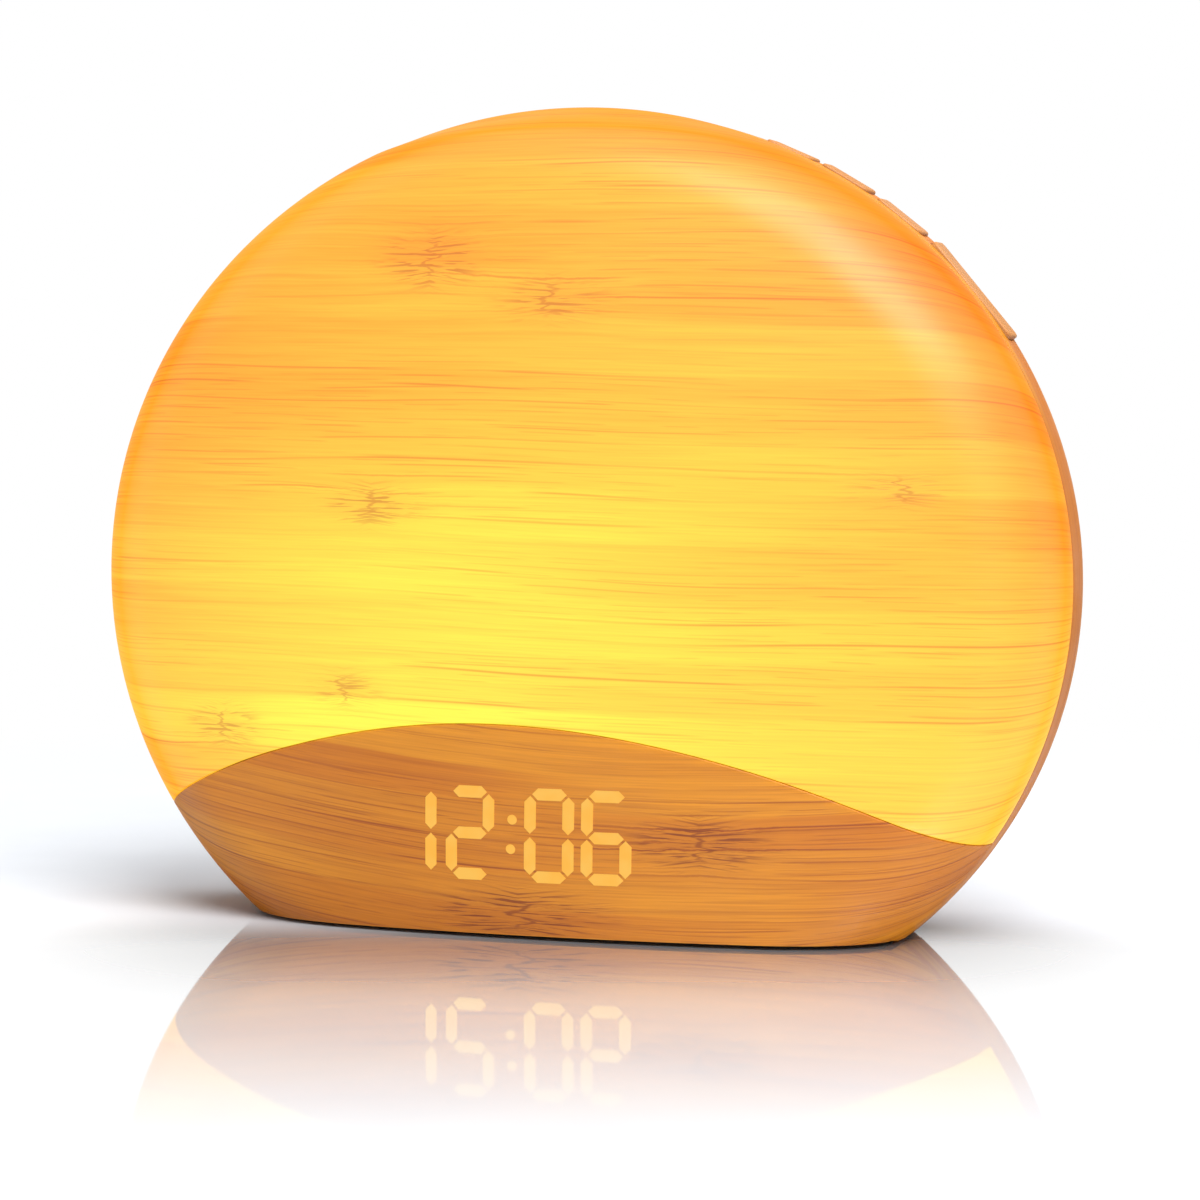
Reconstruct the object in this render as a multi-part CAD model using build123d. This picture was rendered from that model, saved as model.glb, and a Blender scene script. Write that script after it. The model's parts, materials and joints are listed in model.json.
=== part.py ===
from build123d import *
import os
from math import atan2, cos, hypot, pi, radians, sin, sqrt

# Sunrise alarm clock with a pebble-shaped body.
# Millimetres.  The origin is the middle of the footprint on the table, +X runs to the
# viewer's right, the lit face looks along -Y and +Z is up.

# ---------------------------------------------------------------- body form
BODY_WIDTH = 190.0
BODY_HEIGHT = 155.0
BODY_DEPTH = 60.0
BASE_TRIM = 23.0               # what the flat base takes off the height of the full oval
FRONT_EDGE_RADIUS = 20.0       # rounding between the front dome and the band
REAR_EDGE_RADIUS = 16.0
PANEL_PLANE = -1.0             # the front shell ends here and the band begins
BAND_WIDTH = 9.0               # straight part of the band
SEAM_PLANE = 14.0              # main housing and rear cover meet here
WALL = 2.2
FLOOR_THICKNESS = 2.4

# ---------------------------------------------------------------- fits and joints
FIT_GAP = 0.15                 # between a tongue and the wall that it slides into
RUN_GAP = 0.3                  # between pieces that move or only rest near each other
TONGUE_THICKNESS = 1.2
TONGUE_REACH = 2.6
LEDGE_THICKNESS = 1.2
LEDGE_RISE = 2.5               # how far the ledge stands above the wave line
LEDGE_ROOT = 2.0               # how far it is rooted below it

# ---------------------------------------------------------------- wave line
# Height of the crest line between lit panel and fascia, left to right.  It runs past the
# rim by an overrun at both ends.
WAVE_CREST = [(-76.6, 23.4), (-48.0, 35.0), (-12.5, 40.5), (20.0, 38.0), (53.4, 29.0), (80.0, 19.0)]
WAVE_OVERRUN = 9.0
WAVE_LEFT_END = 0.0
WAVE_RIGHT_END = 15.0

# ---------------------------------------------------------------- foot pads
PAD_STAND = 0.8                # how far the pads hold the shells off the table
PAD_SINK = 0.6                 # depth of the recess that a pad is glued into
PAD_INSET = 3.0
PAD_SPLIT_GAP = 1.0

# ---------------------------------------------------------------- screws
SCREW_RADIUS = 1.2
SCREW_LENGTH = 5.0
COVER_SCREW_LENGTH = 8.0
SCREW_HEAD_RADIUS = 2.3
SCREW_HEAD_HEIGHT = 1.5
SCREW_SOCKET_RADIUS = 0.9
SCREW_SOCKET_DEPTH = 0.8
SCREW_PLAY = 0.05
SCREW_HOLE_PLAY = 0.3
BOSS_RADIUS = 3.0
BOSS_ROOT = 0.6                # how deep a boss is buried in the wall behind it

# ---------------------------------------------------------------- rear cover fixing
COVER_BOSS_ANGLES = [78.0, 130.0, -78.0, -130.0]
COVER_BOSS_INSET = 9.0         # boss axis below the rim, far enough in for a full recess
COVER_BOSS_START = 3.0
COVER_BOSS_WEB = 2.0           # thickness of the web between boss and band
COVER_HEAD_SEAT = 3.0          # behind the seam
COVER_PILLAR_RADIUS = 4.2

# ---------------------------------------------------------------- keys
KEY_ANGLES = [25.1, 32.4, 40.2, 52.2]
KEY_LENGTHS = [9.8, 10.4, 10.6, 22.8]
KEY_WIDTH = 7.0
KEY_CENTRE_Y = 6.6
KEY_STAND = [0.3, 0.45, 0.35, 0.2]   # middle of each cap above the rim
KEY_CORNER = 1.3
KEY_EDGE = 0.45
KEY_GAP = 0.25
SLOT_CHAMFER = 0.9
KEY_FLANGE_LIP = 0.8           # across the band only, so that neighbours stay clear
KEY_FLANGE_TRIM = 0.3          # how much shorter the flange is at each end
KEY_FLANGE_THICKNESS = 1.0
KEY_STEM_RADIUS = 1.4
KEY_STEM_DROP = 1.2
KEY_TRAVEL = 0.7
SWITCH_SIDE = 6.0
SWITCH_HEIGHT = 2.2
SWITCH_WELL_RADIUS = 1.9
SWITCH_DOME_HEIGHT = 0.25
STEM_ENTRY = 0.2               # how deep a stem sits in its switch at rest
SWITCH_WELL_DEPTH = STEM_ENTRY + KEY_TRAVEL + SWITCH_DOME_HEIGHT + FIT_GAP
FLEX_THICKNESS = 0.3
FLEX_WIDTH = 7.0
FLEX_SETBACK = 3.6             # degrees between a bracket end and the flex board's end
BRACKET_THICKNESS = 1.6
BRACKET_WIDTH = 8.0
BRACKET_START = 18.0
BRACKET_END = 63.0
BRACKET_EAR = 7.0
BRACKET_EAR_THICKNESS = 2.0

# ---------------------------------------------------------------- light box
TRAY_SPACING = 24.4            # from its back plate to the rear apex of the body
TRAY_WALL = 1.6
TRAY_MARGIN = 13.5             # between the rim and its straight rear part
TRAY_STRAIGHT = 3.6            # length of that part
TRAY_FLARE_RISE = 16.0
TRAY_FLARE_SPREAD = 9.0
TRAY_EAR_ANGLES = [0.0, 96.0, -96.0]
TRAY_EAR_WIDTH = 8.0
TRAY_EAR_THICKNESS = 2.0
BAFFLE_GAP = 0.5
LED_BOARD_SIDE_MARGIN = 40.0   # between board and rim on either side
LED_BOARD_RISE = 22.0          # its middle above the middle of the oval
LED_BOARD_TOP_MARGIN = 39.0
LED_BOARD_CORNER = 8.0
BOARD_THICKNESS = 1.6
LED_COLUMNS = 6
LED_ROWS = 4
LED_EDGE_X = 12.5              # from the outer LEDs' middles to the board's edge
LED_EDGE_Z = 7.75
LED_WIDTH = 3.5
LED_HEIGHT = 2.8
LED_THICKNESS = 0.8
LED_SCREW_EDGE = 5.0

# ---------------------------------------------------------------- display
DISPLAY_X = -5.0
DISPLAY_Z = 20.0
DISPLAY_WIDTH = 52.0
DISPLAY_HEIGHT = 21.0
DISPLAY_THICKNESS = 7.0
DISPLAY_BOARD_WING = 8.0       # how far its board stands out at either side
DISPLAY_BOARD_TRIM = 0.5       # and how far it falls short above and below
DISPLAY_BOARD_CORNER = 2.0
DISPLAY_SCREW_MARGIN = 4.0     # from the block's side to a screw's axis
DISPLAY_CLEARANCE = 0.4
WINDOW_WALL = 0.8              # wall left in front of the digits
WINDOW_MARGIN = 0.5            # between the window's edge and the block's
DIGIT_WELL_DEPTH = 0.6
DIGIT_CENTRES = [-19.2, -7.4, 8.1, 18.9]
DIGIT_WELL_WIDTH = 10.0
DIGIT_WELL_HEIGHT = 18.0
COLON_X = 0.8
COLON_HALF_PITCH = 2.8
COLON_RADIUS = 1.0

# ---------------------------------------------------------------- main board
MAIN_BOARD_UNDERSIDE = 7.0
MAIN_BOARD_HALF_WIDTH = 46.0
MAIN_BOARD_FRONT = -8.0
MAIN_BOARD_SPACING = 8.5       # from its rear edge to the rear apex
MAIN_BOARD_CORNER = 5.0
MAIN_SCREW_X = 40.0
MAIN_SCREW_Y = [-3.5, 8.0]
PORT_SETBACK = 4.4             # from the sockets' mouths to the rear apex
INLET_X = -24.0
INLET_WIDTH = 8.9
INLET_HEIGHT = 3.2
INLET_LENGTH = 7.4
OUTLET_X = 22.0
OUTLET_WIDTH = 13.2
OUTLET_HEIGHT = 5.8
OUTLET_LENGTH = 14.0
PORT_SHELL = 0.35
PORT_GAP = 0.3
OUTLET_CORNER = 0.8
INLET_TONGUE = (6.7, 0.7)      # width and thickness
OUTLET_TONGUE = (11.2, 1.9)
OUTLET_TONGUE_LEVEL = 3.8      # height of its middle above the board
PORT_TONGUE_SETBACK = 1.0
CHIP_SIDE = 10.0
CHIP_HEIGHT = 1.6
CHIP_CHAMFER = 0.8
CHIP_MARK_RADIUS = 0.7
CHIP_MARK_DEPTH = 0.2
CHIP_X = -12.0
CHIP_Y = -1.0
CAPACITOR_RADIUS = 3.2
CAPACITOR_HEIGHT = 9.0
CAPACITOR_PLACES = [(-8.0, 12.0), (0.0, 12.0)]
CRIMP_RADIUS = 0.5
CRIMP_STANDOFF = 0.2
SOCKET_SIZE = (8.0, 5.5, 5.0)
SOCKET_PLACES = [(-30.0, -4.0), (6.0, -4.0), (30.0, -4.0)]
SOCKET_WALL = 0.8

# ---------------------------------------------------------------- speaker
SPEAKER_RISE = 26.0            # its middle above the middle of the oval
SPEAKER_SIDE = 44.0
SPEAKER_CORNER = 5.0
SPEAKER_SCREW = 18.0
SPEAKER_SPACING = 7.2          # from its seat to the rear apex
SPEAKER_FLANGE = 1.2
SPEAKER_GASKET = 1.2
SPEAKER_MOUTH_RADIUS = 17.5
SPEAKER_BASKET_DEPTH = 9.0
SPEAKER_BACK_RADIUS = 11.0
BASKET_WALL = 1.0
GASKET_WIDTH = 2.5
CONE_GAP = 0.1
CONE_THICKNESS = 1.2
CONE_SURROUND = 2.0
CONE_SETBACK = 0.4
DUST_CAP_RISE = 1.4
COIL_RADIUS = 5.5
COIL_WALL = 0.8
MAGNET_RADIUS = 12.0
MAGNET_THICKNESS = 5.0
MAGNET_CHAMFER = 0.6
GRILLE_RADIUS = 16.0
GRILLE_SLOT = 2.0
GRILLE_PITCH = 4.0
GRILLE_ROWS = 7

# ---------------------------------------------------------------- backup cell
CELL_X = 48.0
CELL_DROP = 20.0               # its middle below the middle of the oval
CELL_RADIUS = 10.0
CELL_THICKNESS = 3.2
CELL_CHAMFER = 0.4
DOOR_SIDE = 27.0
DOOR_CORNER = 3.0
DOOR_GAP = 0.25
BAY_WALL = 1.2
CELL_CLEARANCE = 1.1           # between the cell and the door's inner face
CONTACT_THICKNESS = 0.4
CONTACT_HALF_WIDTH = 3.0
BLADE_HALF_HEIGHT = 4.0
BLADE_FOOT = 2.4
DOOR_RIB = 0.5
DOOR_NOTCH_RADIUS = 4.0        # finger notch in the door's upper edge
DOOR_NOTCH_DEPTH = 3.1         # from the notch's floor to the rear apex

# ---------------------------------------------------------------- derived places
HALF_WIDTH = BODY_WIDTH / 2
HALF_DEPTH = BODY_DEPTH / 2
BODY_HALF_HEIGHT = (BODY_HEIGHT + BASE_TRIM) / 2
CENTRE_Z = BODY_HEIGHT - BODY_HALF_HEIGHT
BAND_END = PANEL_PLANE + BAND_WIDTH
FLOOR_TOP = PAD_STAND + FLOOR_THICKNESS
HEAD_SEAT = SEAM_PLANE + COVER_HEAD_SEAT
TRAY_BACK = HALF_DEPTH - TRAY_SPACING
TRAY_FLARE_START = TRAY_BACK - TRAY_STRAIGHT
TRAY_RADIUS = HALF_WIDTH - TRAY_MARGIN
LED_BOARD_WIDTH = 2 * (HALF_WIDTH - LED_BOARD_SIDE_MARGIN)
LED_BOARD_CENTRE_Z = CENTRE_Z + LED_BOARD_RISE
LED_BOARD_HEIGHT = 2 * (BODY_HEIGHT - LED_BOARD_TOP_MARGIN - LED_BOARD_CENTRE_Z)
LED_PITCH_X = (LED_BOARD_WIDTH - 2 * LED_EDGE_X) / (LED_COLUMNS - 1)
LED_PITCH_Z = (LED_BOARD_HEIGHT - 2 * LED_EDGE_Z) / (LED_ROWS - 1)
LED_SCREW_X = LED_BOARD_WIDTH / 2 - LED_SCREW_EDGE
DISPLAY_SCREW_X = DISPLAY_WIDTH / 2 + DISPLAY_SCREW_MARGIN
DISPLAY_BOARD_WIDTH = DISPLAY_WIDTH + 2 * DISPLAY_BOARD_WING
DISPLAY_BOARD_HEIGHT = DISPLAY_HEIGHT - 2 * DISPLAY_BOARD_TRIM
WINDOW_WIDTH = DISPLAY_WIDTH - 2 * WINDOW_MARGIN
WINDOW_HEIGHT = DISPLAY_HEIGHT + 2 * WINDOW_MARGIN
MAIN_BOARD_REAR = HALF_DEPTH - MAIN_BOARD_SPACING
PORT_MOUTH = HALF_DEPTH - PORT_SETBACK
SPEAKER_Z = CENTRE_Z + SPEAKER_RISE
SPEAKER_BOSS_FRONT = HALF_DEPTH - SPEAKER_SPACING
CELL_Z = CENTRE_Z - CELL_DROP
DOOR_NOTCH_FLOOR = HALF_DEPTH - DOOR_NOTCH_DEPTH
WAVE_POINTS = [(-HALF_WIDTH - WAVE_OVERRUN, WAVE_LEFT_END), *WAVE_CREST,
               (HALF_WIDTH + WAVE_OVERRUN, WAVE_RIGHT_END)]
REACH = BODY_WIDTH + BODY_HEIGHT   # longer than any piece, for cutting tools


# ---------------------------------------------------------------- body geometry
def half_profile(half_width, apex, side, edge_radius):
    """Edges of one face of the pebble, from its apex on the axis to the band."""
    drop = abs(side - apex)
    toward = 1 if side > apex else -1
    run = half_width - edge_radius
    dome = (run**2 + drop**2 - edge_radius**2) / (2 * (drop - edge_radius))
    tangent = atan2(run, dome - drop)

    def on_dome(angle):
        return (dome * sin(angle), apex + toward * dome * (1 - cos(angle)))

    def on_edge(angle):
        return (run + edge_radius * sin(angle), side - toward * edge_radius * cos(angle))

    face_arc = ThreePointArc(on_dome(0), on_dome(tangent / 2), on_dome(tangent))
    edge_arc = ThreePointArc(on_dome(tangent), on_edge((tangent + pi / 2) / 2), on_edge(pi / 2))
    return face_arc, edge_arc


def pebble(inset=0.0):
    """The closed body, drawn in by an inset on every side, without its flat base."""
    half_width = HALF_WIDTH - inset
    front = -HALF_DEPTH + inset
    rear = HALF_DEPTH - inset
    front_face, front_edge = half_profile(half_width, front, PANEL_PLANE, FRONT_EDGE_RADIUS - inset)
    rear_face, rear_edge = half_profile(half_width, rear, BAND_END, REAR_EDGE_RADIUS - inset)
    band = Line((half_width, PANEL_PLANE), (half_width, BAND_END))
    axis = Line((0, rear), (0, front))
    outline = make_face([front_face, front_edge, band, rear_edge, rear_face, axis])
    round_body = revolve(outline, axis=Axis.Y, revolution_arc=360)
    squash = (BODY_HALF_HEIGHT - inset) / half_width
    seam_down = Rot(0, 90, 0) * round_body
    return Pos(0, 0, CENTRE_Z) * scale(seam_down, by=(1, 1, squash))


def block(x_range, y_range, z_range):
    """Box between three pairs of limits."""
    (x0, x1), (y0, y1), (z0, z1) = x_range, y_range, z_range
    middle = Pos((x0 + x1) / 2, (y0 + y1) / 2, (z0 + z1) / 2)
    return middle * Box(x1 - x0, y1 - y0, z1 - z0)


def slab_y(y0, y1):
    """Everything between two planes across the depth."""
    return block((-REACH, REACH), (y0, y1), (-REACH, REACH))


def slab_z(z0, z1):
    """Everything between two levels."""
    return block((-REACH, REACH), (-REACH, REACH), (z0, z1))


def above_wave(shift=0.0):
    """Everything above the wave line, which is raised by a shift."""
    points = [(x, z + shift) for x, z in WAVE_POINTS]
    left, right = points[0], points[-1]
    crest = Spline(points)
    sides = Polyline(right, (right[0], REACH), (left[0], REACH), left)
    face = Plane.XZ * make_face([crest, sides])
    return extrude(face, amount=BODY_DEPTH, both=True)


def rod_y(x, z, radius, y0, y1):
    """Round bar along the depth."""
    return Pos(x, (y0 + y1) / 2, z) * Rot(90, 0, 0) * Cylinder(radius, y1 - y0)


def rod_z(x, y, radius, z0, z1):
    """Upright round bar."""
    return Pos(x, y, (z0 + z1) / 2) * Cylinder(radius, z1 - z0)


def rounded_plate_y(x, z, width, height, corner, y0, y1):
    """Plate with rounded corners that lies across the depth."""
    face = Plane.XZ * RectangleRounded(width, height, corner)
    return Pos(x, y1, z) * extrude(face, amount=y1 - y0)


def rim_point(angle, inset=0.0):
    """Point on the outline, angle in degrees from the top towards +X."""
    turn = radians(angle)
    return ((HALF_WIDTH - inset) * sin(turn), CENTRE_Z + (BODY_HALF_HEIGHT - inset) * cos(turn))


def rim_normal(angle):
    """Outward normal of the outline."""
    turn = radians(angle)
    across, up = BODY_HALF_HEIGHT * sin(turn), HALF_WIDTH * cos(turn)
    return across / hypot(across, up), up / hypot(across, up)


def rim_curvature_radius(angle):
    """Radius of curvature of the outline."""
    turn = radians(angle)
    speed = hypot(HALF_WIDTH * cos(turn), BODY_HALF_HEIGHT * sin(turn))
    return speed**3 / (HALF_WIDTH * BODY_HALF_HEIGHT)


def rim_plane(angle, y):
    """Work plane on the outline: local X along the rim, local Z outwards."""
    x, z = rim_point(angle)
    nx, nz = rim_normal(angle)
    return Plane(origin=(x, y, z), x_dir=(nz, 0, -nx), z_dir=(nx, 0, nz))


def depth_at(angle, inset):
    """Distance inwards along the normal to the outline drawn in by an inset."""
    x, z = rim_point(angle)
    nx, nz = rim_normal(angle)
    half_x, half_z = HALF_WIDTH - inset, BODY_HALF_HEIGHT - inset
    a = (nx / half_x) ** 2 + (nz / half_z) ** 2
    b = -2 * (x * nx / half_x**2 + (z - CENTRE_Z) * nz / half_z**2)
    c = (x / half_x) ** 2 + ((z - CENTRE_Z) / half_z) ** 2 - 1
    return (-b - sqrt(b**2 - 4 * a * c)) / (2 * a)


def inward_point(angle, depth):
    """Point below the outline, measured along its normal."""
    x, z = rim_point(angle)
    nx, nz = rim_normal(angle)
    return x - depth * nx, z - depth * nz


def dome_sag(x, z, drop, edge_radius, inset):
    """How far a dome has fallen away from its apex, on the skin drawn in by an inset."""
    run = HALF_WIDTH - edge_radius
    dome = (run**2 + drop**2 - edge_radius**2) / (2 * (drop - edge_radius)) - inset
    squash = (BODY_HALF_HEIGHT - inset) / (HALF_WIDTH - inset)
    reach = hypot(x, (z - CENTRE_Z) / squash)
    return dome - sqrt(dome**2 - reach**2)


def dome_y(x, z, inset=0.0):
    """Depth coordinate of the front dome drawn in by an inset, near the middle."""
    return -HALF_DEPTH + inset + dome_sag(x, z, PANEL_PLANE + HALF_DEPTH, FRONT_EDGE_RADIUS, inset)


def bay_floor():
    """Depth coordinate of the cell bay's floor, which leaves the cell clear of the door."""
    far = 1 + CELL_RADIUS / hypot(CELL_X, CELL_DROP)
    sag = dome_sag(far * CELL_X, CENTRE_Z - far * CELL_DROP, HALF_DEPTH - BAND_END, REAR_EDGE_RADIUS, WALL)
    return HALF_DEPTH - WALL - sag - CELL_CLEARANCE - CELL_THICKNESS - CONTACT_THICKNESS


# ---------------------------------------------------------------- screws
def screw(place, length=SCREW_LENGTH):
    """Pan-head screw: the place's Z points from the tip to the head, origin under the head."""
    shank = Pos(0, 0, -length / 2) * Cylinder(SCREW_RADIUS, length)
    head = Pos(0, 0, SCREW_HEAD_HEIGHT / 2) * Cylinder(SCREW_HEAD_RADIUS, SCREW_HEAD_HEIGHT)
    socket_centre = SCREW_HEAD_HEIGHT - SCREW_SOCKET_DEPTH / 2
    socket = extrude(RegularPolygon(SCREW_SOCKET_RADIUS, 6), SCREW_SOCKET_DEPTH)
    socket = Pos(0, 0, socket_centre - SCREW_SOCKET_DEPTH / 2) * socket
    return place * (shank + head - socket)


def facing_rear(x, y, z):
    """Placement whose Z looks to the rear."""
    return Plane(origin=(x, y, z), x_dir=(1, 0, 0), z_dir=(0, 1, 0)).location


def facing_front(x, y, z):
    """Placement whose Z looks to the front."""
    return Plane(origin=(x, y, z), x_dir=(1, 0, 0), z_dir=(0, -1, 0)).location


def boss_inset():
    """Depth of a boss centre that is rooted in the band wall."""
    return WALL + BOSS_RADIUS - BOSS_ROOT


def band_boss(angle, y0, y1):
    """Screw boss along the depth that grows out of the band wall."""
    x, z = inward_point(angle, boss_inset())
    return rod_y(x, z, BOSS_RADIUS, y0, y1)


def band_boss_hole(angle, y0, y1):
    """Core hole of such a boss."""
    x, z = inward_point(angle, boss_inset())
    return rod_y(x, z, SCREW_RADIUS + SCREW_PLAY, y0, y1)


# ---------------------------------------------------------------- keys
def key_levels(index):
    """Heights of one key in its own plane, from its top down to the flex board."""
    angle, length = KEY_ANGLES[index], KEY_LENGTHS[index]
    half_flange = length / 2 - KEY_FLANGE_TRIM
    radius = rim_curvature_radius(angle) - WALL
    sag_along = radius - sqrt(radius**2 - half_flange**2)
    overrun = KEY_CENTRE_Y + KEY_WIDTH / 2 + KEY_FLANGE_LIP - BAND_END
    edge = REAR_EDGE_RADIUS - WALL
    sag_across = edge - sqrt(edge**2 - overrun**2) if overrun > 0 else 0.0
    flange_top = -(WALL + sag_along + sag_across + RUN_GAP)
    flange_bottom = flange_top - KEY_FLANGE_THICKNESS
    return flange_top, flange_bottom


def flex_depth():
    """Depth of the flex board's outer face, set by the deepest key."""
    deepest = min(key_levels(i)[1] for i in range(len(KEY_ANGLES)))
    return -(deepest - KEY_STEM_DROP + STEM_ENTRY - SWITCH_HEIGHT)


def mirrored(shape, side):
    """The shape itself on the right side, its mirror image on the left."""
    return shape if side > 0 else mirror(shape, about=Plane.YZ)


def rounded_bar(length, width, corner, z0, z1):
    """Upright bar with rounded corners in local coordinates."""
    return Pos(0, 0, z0) * extrude(RectangleRounded(length, width, corner), z1 - z0)


def key_cap(index):
    """One key: a flat-topped cap, a retaining flange behind the wall and a stem."""
    angle, length = KEY_ANGLES[index], KEY_LENGTHS[index]
    flange_top, flange_bottom = key_levels(index)
    head = rounded_bar(length, KEY_WIDTH, KEY_CORNER, flange_bottom, KEY_STAND[index])
    head = fillet(head.faces().sort_by(Axis.Z)[-1].edges(), KEY_EDGE)
    flange = rounded_bar(length - 2 * KEY_FLANGE_TRIM, KEY_WIDTH + 2 * KEY_FLANGE_LIP, KEY_CORNER,
                         flange_bottom, flange_top)
    stem_end = switch_top(index) - STEM_ENTRY
    stem = Pos(0, 0, (flange_bottom + stem_end) / 2) * Cylinder(KEY_STEM_RADIUS, flange_bottom - stem_end)
    return rim_plane(angle, KEY_CENTRE_Y).location * (head + flange + stem)


def switch_top(index):
    """Height of a switch's top face in its key's plane."""
    return -depth_at(KEY_ANGLES[index], flex_depth()) + SWITCH_HEIGHT


def key_slot(index, side):
    """Opening in the band wall for one key, on the right (1) or left (-1) side."""
    length = KEY_LENGTHS[index] + 2 * KEY_GAP
    width = KEY_WIDTH + 2 * KEY_GAP
    low, high = key_levels(index)[0], 2 * WALL
    slot = Pos(0, 0, (low + high) / 2) * Box(length, width, high - low)
    slot = chamfer(slot.edges().filter_by(Axis.Z), SLOT_CHAMFER)
    return rim_plane(side * KEY_ANGLES[index], KEY_CENTRE_Y).location * slot


def key_switch(index):
    """Tactile switch with a round well that the stem presses into."""
    angle = KEY_ANGLES[index]
    top = switch_top(index)
    body = Pos(0, 0, top - SWITCH_HEIGHT / 2) * Box(SWITCH_SIDE, SWITCH_SIDE, SWITCH_HEIGHT)
    well = Pos(0, 0, top - SWITCH_WELL_DEPTH / 2) * Cylinder(SWITCH_WELL_RADIUS, SWITCH_WELL_DEPTH)
    dome_level = top - SWITCH_WELL_DEPTH + SWITCH_DOME_HEIGHT / 2
    dome = Pos(0, 0, dome_level) * Cylinder(SWITCH_WELL_RADIUS / 2, SWITCH_DOME_HEIGHT)
    return rim_plane(angle, KEY_CENTRE_Y).location * (body - well + dome)


def rim_sector(start, end, y0, y1):
    """Wedge of the body between two rim angles, for cutting strips to length."""
    far = 2.0
    steps = 4
    points = [(0.0, CENTRE_Z)]
    for step in range(steps + 1):
        angle = radians(start + (end - start) * step / steps)
        points.append((far * HALF_WIDTH * sin(angle), CENTRE_Z + far * BODY_HALF_HEIGHT * cos(angle)))
    face = Plane.XZ * make_face(Polyline(*points, close=True))
    return Pos(0, y1, 0) * extrude(face, amount=y1 - y0)


def rim_strip(start, end, inset, thickness, width):
    """Curved strip parallel to the rim, centred on the keys."""
    y0, y1 = KEY_CENTRE_Y - width / 2, KEY_CENTRE_Y + width / 2
    outer = oval_bar(inset, y0, y1)
    inner = oval_bar(inset + thickness, y0 - 1, y1 + 1)
    return (outer - inner) & rim_sector(start, end, y0, y1)


def oval_bar(inset, y0, y1):
    """Elliptical bar along the depth, the outline drawn in by an inset."""
    face = Plane.XZ * Ellipse(HALF_WIDTH - inset, BODY_HALF_HEIGHT - inset)
    return Pos(0, y1, CENTRE_Z) * extrude(face, amount=y1 - y0)


def key_bracket():
    """Curved bar behind the switches with a screwed ear at each end."""
    inset = flex_depth() + FLEX_THICKNESS
    bar = rim_strip(BRACKET_START, BRACKET_END, inset, BRACKET_THICKNESS, BRACKET_WIDTH)
    for angle in (BRACKET_START, BRACKET_END):
        reach = depth_at(angle, inset + BRACKET_THICKNESS)
        low, high = -reach, -(WALL + RUN_GAP)
        ear = Pos(0, 0, (low + high) / 2) * Box(BRACKET_EAR, BRACKET_EAR_THICKNESS, high - low)
        bar += rim_plane(angle, KEY_CENTRE_Y).location * ear
    for angle in (BRACKET_START, BRACKET_END):
        x, z = inward_point(angle, boss_inset())
        bar -= rod_y(x, z, SCREW_RADIUS + SCREW_HOLE_PLAY, 0, REACH)
    return bar


def bracket_screws():
    """Screws that hold a bracket to the band bosses."""
    seat = KEY_CENTRE_Y + BRACKET_EAR_THICKNESS / 2
    places = [inward_point(angle, boss_inset()) for angle in (BRACKET_START, BRACKET_END)]
    return [screw(facing_rear(x, seat, z)) for x, z in places]


# ---------------------------------------------------------------- housing shells
def display_plane():
    """Work plane of the display: parallel to the fascia, local Z to the front."""
    slope_step = 0.5
    rise = dome_y(0, DISPLAY_Z + slope_step, WALL) - dome_y(0, DISPLAY_Z - slope_step, WALL)
    tilt = atan2(rise, 2 * slope_step)
    corner_sag = dome_y(DISPLAY_WIDTH / 2, DISPLAY_Z, WALL) - dome_y(0, DISPLAY_Z, WALL)
    setback = corner_sag + DISPLAY_CLEARANCE
    face_y = dome_y(0, DISPLAY_Z, WALL) + setback
    return Plane(origin=(DISPLAY_X, face_y, DISPLAY_Z), x_dir=(1, 0, 0), z_dir=(0, -cos(tilt), sin(tilt)))


def make_shells():
    """Cuts the hollow pebble into front housing, lit panel and rear cover."""
    outer = pebble() & slab_z(PAD_STAND, REACH)
    hollow = pebble(WALL) & slab_z(FLOOR_TOP, REACH)
    skin = outer - hollow
    front = skin & slab_y(-REACH, SEAM_PLANE)
    cover = skin & slab_y(SEAM_PLANE, REACH)
    lit_zone = above_wave() & slab_y(-REACH, PANEL_PLANE)
    panel = front & lit_zone
    housing = front - lit_zone
    return housing, panel, cover


def wave_ledge():
    """Strip behind the fascia's upper edge that the lit panel rests on."""
    layer = pebble(WALL - FIT_GAP) - pebble(WALL + LEDGE_THICKNESS)
    zone = above_wave(-LEDGE_ROOT) - above_wave(LEDGE_RISE)
    strip = layer & zone & slab_y(-REACH, PANEL_PLANE)
    clearance = (pebble() - pebble(WALL + FIT_GAP)) & above_wave()
    return strip - clearance


def ring_tongue(y_root, y_seam, y_tip):
    """Locating rib inside a shell's edge, rooted on one side of a seam."""
    root = pebble(WALL - FIT_GAP) & slab_y(min(y_root, y_seam), max(y_root, y_seam))
    tip = pebble(WALL + FIT_GAP) & slab_y(min(y_seam, y_tip), max(y_seam, y_tip))
    return (root + tip) - pebble(WALL + TONGUE_THICKNESS)


def pad_zone(inset):
    """Volume of the foot pads before they are parted at the seam."""
    return pebble(inset) & slab_z(0, PAD_STAND + PAD_SINK)


def cover_boss(angle):
    """Boss for a cover screw, tied to the band by a web that stops short of the cover's rib."""
    x, z = inward_point(angle, COVER_BOSS_INSET)
    boss = rod_y(x, z, BOSS_RADIUS, COVER_BOSS_START, SEAM_PLANE)
    low, high = -COVER_BOSS_INSET, BOSS_ROOT - WALL
    length = SEAM_PLANE - TONGUE_REACH - RUN_GAP - COVER_BOSS_START
    web = Pos(0, 0, (low + high) / 2) * Box(COVER_BOSS_WEB, length, high - low)
    return boss + rim_plane(angle, COVER_BOSS_START + length / 2).location * web


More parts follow.
